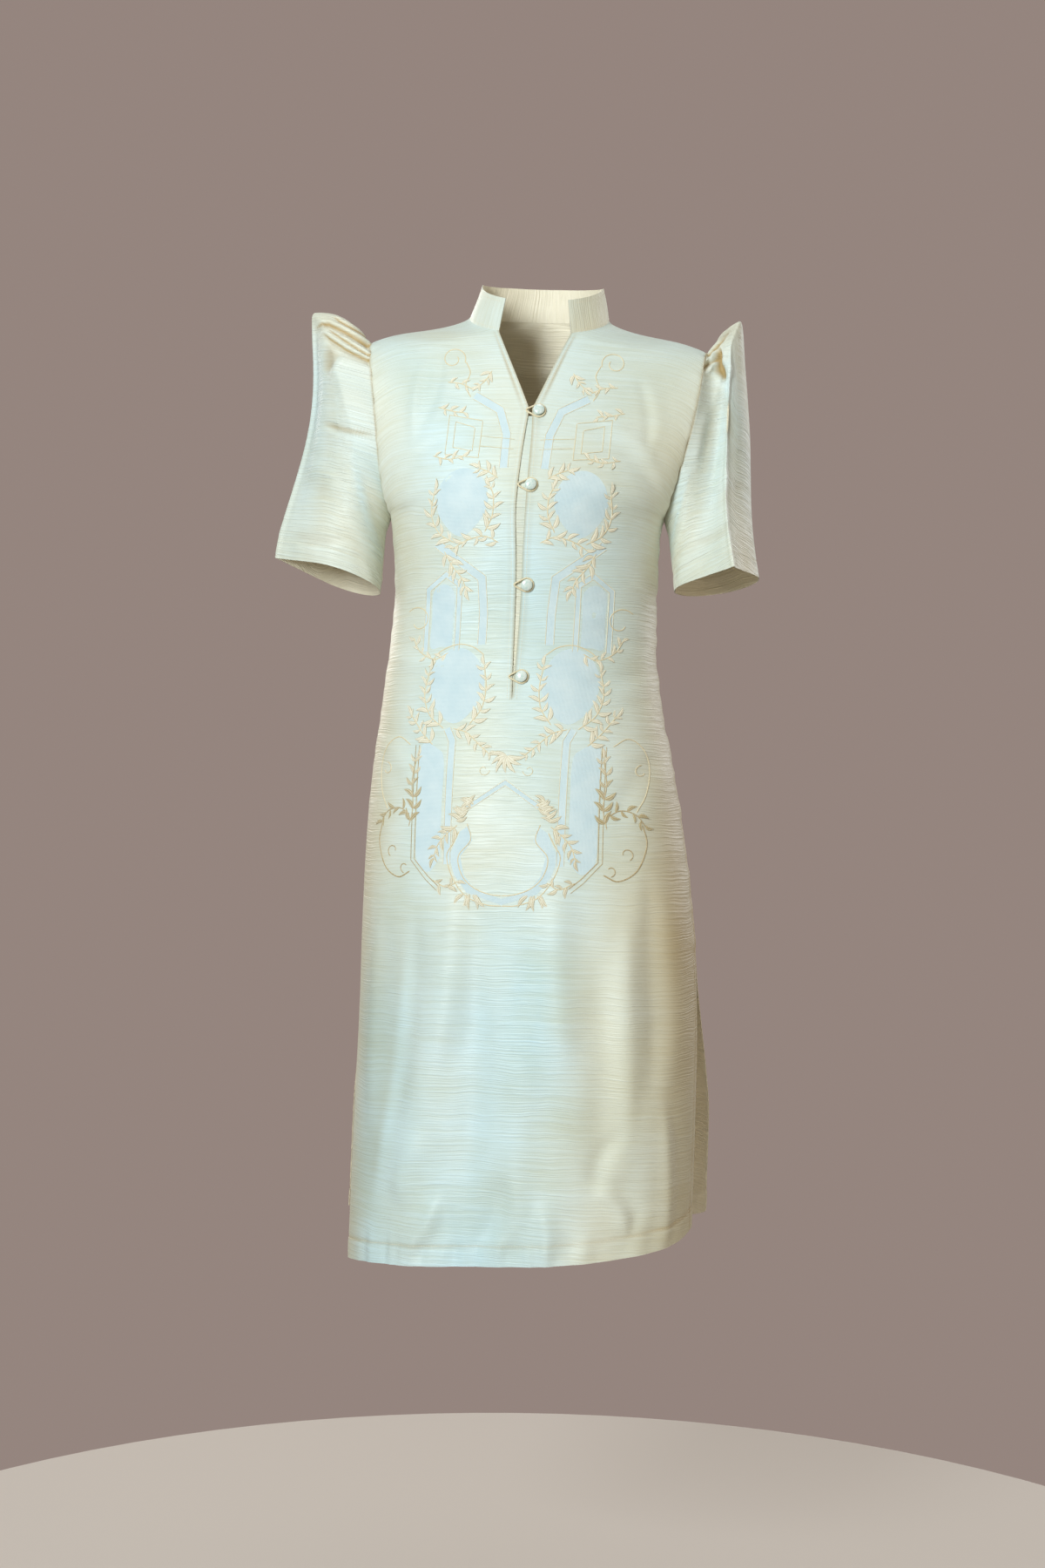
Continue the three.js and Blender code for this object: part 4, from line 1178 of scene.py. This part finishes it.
def oval(half_x, half_z, drop):
    """Offsets of an oval that narrows towards its foot."""
    a = np.arange(16) * 2 * np.pi / 16
    narrow = 1 - drop * clamp01(-np.sin(a)) ** 1.5
    return np.stack([half_x * np.cos(a) * narrow, half_z * np.sin(a)], 1)


# ---------------------------------------------------------------- the embroidery's layout
def curl(x, z, radius, start, turns):
    """A scroll that winds in towards (x, z)."""
    share = np.linspace(0, 1, 14)
    a = rad(start + 360 * turns * share)
    r = radius * mix(1.0, 0.35, share)
    return list(zip(x + r * np.cos(a), z + r * np.sin(a)))


# yoke: a scroll by the neck, small leaf bits and the shoulder ends of the bars
stem(curl(80, -47, 13, 200, -1.15))
stem([(67, -50), (62, -62), (66, -76), (60, -88)])
garland([(84, -72), (70, -74), (58, -80)], 5, 8, 3.2)
spray([(40, -60), (46, -70), (52, -76)], 3, 8, 3)
garland([(92, -98), (78, -102), (64, -104)], 6, 8, 3.2)
bar([(56, -86), (30, -101), (21, -126), (20, -160)], 8.0)
# small squares in outline
for inner in (0, 7):
    stem([(46 + inner, -112 - inner), (80 - inner, -106 - inner), (80 - inner, -146 + inner),
          (46 + inner, -150 + inner), (46 + inner, -112 - inner)], 0.4, 0.4, straight=True)
stem([(46, -128), (12, -131)], 0.3, 0.35, straight=True)
stem([(46, -138), (12, -141)], 0.3, 0.35, straight=True)
garland([(92, -147), (76, -151), (60, -148)], 7, 8, 3.2)
# upper ovals with a leafy vine on each side
net_shape(58, -193, oval(26, 33, 0.35))
spray([(24, -170), (34, -164), (44, -160)], 3, 10, 3.8)
spray([(34, -222), (27, -206), (27, -188), (31, -178)], 5, 10, 3.6)
spray([(64, -232), (80, -222), (88, -204), (86, -182)], 6, 11, 3.8)
garland([(20, -232), (34, -226), (52, -230), (66, -238)], 10, 10, 3.6)
# slanted bars that fall to the waist
bar([(82, -232), (64, -246), (36, -266), (33, -300), (33, -330)], 8.0)
spray([(74, -240), (66, -254), (56, -266), (52, -276)], 5, 11, 4)
# small gabled panels
bar([(90, -336), (90, -276), (72, -262), (58, -272), (58, -336)], 5.0)
net_shape(74, -304, [(-11, -28), (-11, 0), (-11, 24), (0, 33), (11, 24), (11, 0), (11, -28), (0, -28)], 5)
stem(curl(100, -306, 15, 40, 0.8))
garland([(66, -338), (80, -344), (96, -336), (104, -322)], 9, 9, 3.6)
# lower ovals
net_shape(56, -370, oval(28, 37, 0.3))
stem([(30, -340), (42, -332), (58, -330), (76, -338), (84, -352)])
spray([(66, -412), (82, -398), (88, -378), (84, -356)], 7, 11, 3.8)
spray([(40, -408), (29, -392), (26, -372), (29, -350)], 6, 10, 3.6)
# sprays at the hips and the festoon to the centre star
spray([(76, -428), (88, -416), (97, -404), (102, -398)], 5, 10, 3.8)
spray([(56, -412), (42, -416), (28, -428), (16, -438)], 6, 9, 3.4, tip=False)
for k in range(7):
    leaf(0, -438, -90 + 30 * (k - 3), 15 if k % 2 else 17, 4.4, both=False)
# hip panels with bars
bar([(62, -412), (56, -424), (56, -544)], 7.0)
net_shape(76, -488, [(-13, -50), (-13, 0), (-13, 44), (-6, 56), (12, 58), (13, 0), (13, -50), (0, -64)], 6)
stem([(90, -428), (91, -540), (76, -556), (64, -566)], 0.5, 0.45, straight=True)
stem([(94, -428), (95, -541), (78, -560), (66, -570)], 0.4, 0.4, straight=True)
spray([(98, -508), (94, -488), (96, -464), (92, -440)], 6, 11, 4)
# outer scrolls
stem([(100, -428), (114, -420), (128, -430), (134, -450), (132, -474), (124, -492)])
stem(curl(127, -452, 7, 90, 0.7))
garland([(98, -496), (110, -490), (124, -494), (133, -506)], 8, 10, 3.6)
stem([(130, -504), (134, -524), (126, -548), (110, -558), (96, -552)], 0.7)
stem(curl(116, -532, 7, -60, 0.7))
stem(curl(102, -548, 6, -80, 0.6))
# chevron, clusters and the plain shield with its scalloped net border
bar([(44, -494), (0, -464), (-44, -494)], 4.5, both=False)
for k in range(6):
    leaf(30 + 2.5 * k, -486 - 3.0 * k, 28 + 9 * np.sin(2 * k), 13, 4.2)
    leaf(40 + 1.5 * k, -482 - 4.0 * k, 152 + 9 * np.sin(3 * k), 11, 3.8)
stem([(36, -504), (32, -520), (44, -536), (40, -554), (28, -566), (12, -572), (0, -573)])
stem([(44, -512), (50, -524), (56, -536), (50, -556), (36, -574), (16, -582), (0, -583)])
spray([(46, -506), (58, -516), (66, -526), (70, -538)], 5, 10, 3.6)
stem(curl(22, -452, 6, 180, 0.9), 0.4)
garland([(70, -560), (56, -566), (44, -560)], 6, 9, 3.4)
for k in range(5):
    leaf(26 + 3 * k, -572, -128 + 19 * k, 14, 4.2)
inner = [(34, -506), (30, -520), (42, -536), (38, -554), (26, -568), (0, -576)]
outer = [(43, -512), (48, -524), (54, -536), (48, -554), (35, -571), (0, -582)]
patch(inner, outer)
patch(mirrored(outer), mirrored(inner))

stem_mesh = stems.build("embroidery_stems", cord_thread)
leaf_mesh = leaves.build("embroidery_leaves", satin_thread)
bar_mesh = bars.build("embroidery_bars", seam_thread)
net_mesh = nets.build("drawn_thread_grounds", drawn_net, 40)


# ---------------------------------------------------------------- stitching
stitches = Parts()
STITCH = dict(pitch=2.6, length=1.9, half_width=0.26, height=0.2, sunk=0.12, raised=0.16)
EDGE_PITCH = 2.4


def stitch_along(points, normals, pitch=STITCH["pitch"]):
    """Short threads along a line, their ends sunk in the cloth."""
    run = run_of(points)
    for i in range(int(run[-1] / pitch)):
        ends = np.array([0.0, 0.5, 1.0]) * STITCH["length"] + i * pitch + 0.3
        at = np.stack([np.interp(ends, run, points[:, k]) for k in range(3)], 1)
        normal = np.array([np.interp(ends[1], run, normals[:, k]) for k in range(3)])
        rise = np.array([-STITCH["sunk"], STITCH["raised"], -STITCH["sunk"]])[:, None] * normal
        tube(stitches, at + rise, np.repeat([normal], 3, 0), STITCH["half_width"], STITCH["height"],
             sides=4, place=i)


def at_grid(key, rows, cols):
    """Points and normals of a finished grid at fractional rows and columns."""
    p, n = CREATED[key]
    rows, cols = np.broadcast_arrays(np.asarray(rows, float), np.asarray(cols, float))
    r = np.clip(rows, 0, p.shape[0] - 1.001)
    c = np.clip(cols, 0, p.shape[1] - 1.001)
    i, j = r.astype(int), c.astype(int)
    down, along = (r - i)[:, None], (c - j)[:, None]
    points, normals = (mix(mix(a[i, j], a[i + 1, j], down), mix(a[i, j + 1], a[i + 1, j + 1], down), along)
                       for a in (p, n))
    return points, unit(normals)


def columns_from_edge(key, rows, distance, from_end=True):
    """For each row, the fractional column at a distance from its end or its start."""
    p = CREATED[key][0]
    found = []
    for r in rows:
        run = run_of(mix(p[int(r)], p[min(int(r) + 1, len(p) - 1)], r - int(r)))
        found.append(np.interp(run[-1] - distance if from_end else distance, run, np.arange(len(run))))
    return np.array(found)


def stitch_hem(key, width):
    """Stitches round a hem at its width above the last row."""
    grid = CREATED[key][0]
    steps = np.arange(len(grid))
    above = np.array([np.interp(width, run_of(grid[::-1, c]), steps) for c in range(grid.shape[1])])
    stitch_along(*at_grid(key, len(grid) - 1 - above, np.arange(float(grid.shape[1]))))


ROWS = len(UPPER_STEPS) + len(LOWER_STEPS)
LOWER_PITCH = (PLACKET_END_Z - HEM["front_z"]) / 171
slit_top = len(UPPER_STEPS) + int(np.searchsorted(-LOWER_STEPS, -(SLIT_TOP_Z + 6)))
slit_rows = np.arange(slit_top, ROWS - HEM_WIDTH / LOWER_PITCH)
v_rows = np.arange(int(np.searchsorted(UPPER_STEPS, NECK_SHARE)) + 1, SLIT_ROWS + 1)
for panel in ("front", "back"):
    for side in (-1, 1):
        key = (panel, side)
        stitch_hem(key, HEM_WIDTH)
        stitch_along(*at_grid(key, slit_rows, columns_from_edge(key, slit_rows, SLIT_HEM)))
        if panel == "front":
            stitch_along(*at_grid(key, v_rows, columns_from_edge(key, v_rows, FACING, False)), EDGE_PITCH)
collar_grid = CREATED[("collar", 0)][0]
collar_cols = np.arange(2, collar_grid.shape[1] - 2.0)
for row in COLLAR["stitch_rows"]:
    stitch_along(*at_grid(("collar", 0), row, collar_cols), EDGE_PITCH)
for name in SLEEVES:
    stitch_hem((name, 0), SLEEVE_HEM)
stitch_mesh = stitches.build("topstitching", seam_thread)


# ---------------------------------------------------------------- placket underlap
def build_underlap():
    """A strip just behind the slit, level with the cloth at its two edges."""
    z = np.linspace(UNDERLAP["top"], UNDERLAP["bottom"], 110)
    x = np.linspace(-UNDERLAP["half_width"], UNDERLAP["half_width"], 13)
    p = np.zeros((len(z), len(x), 3))
    for i, level in enumerate(z):
        gap = float(column(SLOT, "half_gap", level)) + 0.6 if level > PLACKET_END_Z else 0.0
        for k, across in enumerate(x):
            near = np.sign(across if across else 1) * max(abs(across), gap)
            place, normal = on_front(near, level)
            place[0] += across - near
            sink = CLOTH + SEAM + UNDERLAP["ease"] - 0.12 * np.sin(level / 9 + across / 5)
            p[i, k] = place - normal * sink
    cloth = np.stack(np.meshgrid(x, z), -1)
    return shell("underlap_cloth", [(p, cloth, True, 0 * p[..., 0])], UNDERLAP["thickness"], silk_underlap)


underlap = build_underlap()


# ---------------------------------------------------------------- pearls and their loops
def build_button(index, z):
    """A domed pearl over a narrow foot, turned square to the cloth."""
    dome = rad(np.linspace(-30, 90, 13))[:-1]
    foot_radius, foot_height = np.transpose(BUTTON["foot"])
    radius = np.concatenate([foot_radius, BUTTON["radius"] * np.cos(dome)])
    middle = BUTTON["middle"]
    height = np.concatenate([foot_height, middle + (BUTTON["height"] - middle) * np.sin(dome)])
    rows, around = len(radius), BUTTON["sides"]
    at, normal = on_front(BUTTON["from_centre"], z, SEAM)
    up = unit(np.array([0, 0, 1.0]) - normal * normal[2])
    a = np.arange(around) * 2 * np.pi / around
    circle = np.cross(up, normal) * np.cos(a)[:, None] + up * np.sin(a)[:, None]
    points = (at + circle[None] * radius[:, None, None] + normal * height[:, None, None]).reshape(-1, 3)
    points = np.concatenate([points, [at], [at + normal * BUTTON["height"]]])
    ids = np.arange(rows * around).reshape(rows, around)
    ring = np.column_stack([ids, ids[:, 0]])
    faces = grid_quads(ring).tolist()
    faces += [[b, a, rows * around] for a, b in zip(ring[0], ring[0, 1:])]
    faces += [[a, b, rows * around + 1] for a, b in zip(ring[-1], ring[-1, 1:])]
    return new_object(f"pearl_{index + 1}", posed(points), faces, pearl_shell, 40)


def build_loop(index, z):
    """A loop of fine corded cloth from the far edge round the pearl."""
    tangent = np.arccos(LOOP["inner"] / LOOP["tail"])
    centre, normals = [], []
    for a in np.arange(LOOP["steps"]) / LOOP["steps"] * 2 * np.pi:
        away = np.pi - abs(np.pi - a)
        reach = LOOP["inner"] / np.cos(tangent - away) if away < tangent else LOOP["inner"]
        reach = min(reach, LOOP["tail"] * 0.97)
        place, normal = on_front(BUTTON["from_centre"] - reach * np.cos(a), z + reach * np.sin(a))
        centre.append(place + normal * (LOOP["cord"] + LOOP["lift"]))
        normals.append(normal)
    centre = np.array(centre)
    for _ in range(2):
        centre = (np.roll(centre, 1, 0) + 2 * centre + np.roll(centre, -1, 0)) / 4
    parts = Parts()
    tube(parts, centre, normals, LOOP["cord"], LOOP["cord"], sides=10, closed=True, twist=0.6)
    return parts.build(f"pearl_loop_{index + 1}", cord_thread)


pearls = [build_button(i, z) for i, z in enumerate(BUTTON_HEIGHTS)]
loops = [build_loop(i, z) for i, z in enumerate(BUTTON_HEIGHTS)]

# ---------------------------------------------------------------- the imported parts are hidden and every piece hangs from the root
for piece, node, slot in (
        (front, "front_panel", "silk_front"), (back, "back_panel", "silk_back"),
        (collar, "stand_collar", "silk_collar"),
        (right_sleeve, "sleeve_wearer_right", "silk_sleeve"),
        (left_sleeve, "sleeve_wearer_left", "silk_sleeve"),
        (underlap, "placket_underlap", "silk_underlap"),
        *((p, f"button_{i + 1}", "pearl") for i, p in enumerate(pearls)),
        *((p, f"loop_{i + 1}", "loop_cord") for i, p in enumerate(loops))):
    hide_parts(node)
    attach(piece, "root")
for piece, slot in ((stem_mesh, "loop_cord"), (leaf_mesh, "loop_cord"), (bar_mesh, "loop_cord"),
                    (net_mesh, "silk_front"), (stitch_mesh, "loop_cord")):
    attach(piece, "root")

# ---------------------------------------------------------------- floor, light and camera
scene = bpy.context.scene
scene.view_settings.view_transform = "Standard"
FLOOR = dict(radius=0.95, z=-1.38, sides=96)
floor_mesh = bpy.data.meshes.new("floor")
turn = np.arange(FLOOR["sides"]) * 2 * np.pi / FLOOR["sides"]
floor_edge = vec(FLOOR["radius"] * np.cos(turn), FLOOR["radius"] * np.sin(turn), FLOOR["z"])
floor_mesh.from_pydata(floor_edge.tolist(), [], [list(range(FLOOR["sides"]))])
floor = bpy.data.objects.new("floor", floor_mesh)
scene.collection.objects.link(floor)
floor_surface = Surface("pale_floor")
floor_surface.shader.inputs["Base Color"].default_value = (0.62, 0.56, 0.52, 1)
floor_surface.shader.inputs["Roughness"].default_value = 0.9
floor_mesh.materials.append(floor_surface.material)

world = bpy.data.worlds.new("studio")
scene.world = world
world.use_nodes = True
tree = world.node_tree
backdrop = tree.nodes["Background"]
backdrop.inputs["Color"].default_value = (0.30, 0.235, 0.21, 1)
soft = tree.nodes.new("ShaderNodeBackground")
soft.inputs["Color"].default_value = (1.0, 0.93, 0.80, 1)
soft.inputs["Strength"].default_value = 0.23
rays = tree.nodes.new("ShaderNodeLightPath")
blend = tree.nodes.new("ShaderNodeMixShader")
tree.links.new(rays.outputs["Is Camera Ray"], blend.inputs[0])
tree.links.new(soft.outputs[0], blend.inputs[1])
tree.links.new(backdrop.outputs[0], blend.inputs[2])
tree.links.new(blend.outputs[0], tree.nodes["World Output"].inputs[0])


def area_light(name, place, target, size, power, colour):
    data = bpy.data.lights.new(name, "AREA")
    data.shape = "RECTANGLE"
    data.size, data.size_y = size
    data.energy = power
    data.color = colour
    ob = bpy.data.objects.new(name, data)
    scene.collection.objects.link(ob)
    ob.location = place
    ob.rotation_euler = (Vector(target) - Vector(place)).to_track_quat("-Z", "Y").to_euler()


area_light("key", (-0.8, -2.45, 0.3), (0, 0, -0.4), (0.7, 1.0), 56, (0.93, 1.0, 1.0))
area_light("fill", (2.2, -1.0, -0.3), (0, 0, -0.4), (0.8, 1.4), 6, (1.0, 0.80, 0.54))
area_light("top", (0.1, -0.2, 1.9), (0, 0, -0.2), (1.0, 0.8), 9, (1.0, 0.98, 0.94))
area_light("back_left", (-1.6, 1.9, 0.5), (0, 0, -0.4), (1.0, 1.4), 26, (1.0, 0.97, 0.93))
area_light("back_right", (1.7, 1.8, 0.3), (0, 0, -0.4), (1.0, 1.4), 20, (0.96, 0.98, 1.0))

CAMERA = dict(turn=7.0, distance=2.2, z=-0.465, roll=0.8, focal_px=2486.0, shift_px=9.5, tall_px=1800.0)
camera_data = bpy.data.cameras.new("camera")
camera = bpy.data.objects.new("camera", camera_data)
scene.collection.objects.link(camera)
camera_data.sensor_width = 36.0
camera_data.sensor_fit = "AUTO"
camera_data.lens = CAMERA["focal_px"] / CAMERA["tall_px"] * camera_data.sensor_width
camera_data.shift_x = -CAMERA["shift_px"] / CAMERA["tall_px"]
camera_data.clip_end = 50
a = rad(CAMERA["turn"])
camera.matrix_world = (
    Matrix.Translation((CAMERA["distance"] * np.sin(a), -CAMERA["distance"] * np.cos(a), CAMERA["z"]))
    @ Matrix.Rotation(a, 4, "Z") @ Matrix.Rotation(rad(90), 4, "X")
    @ Matrix.Rotation(rad(CAMERA["roll"]), 4, "Z"))
scene.camera = camera
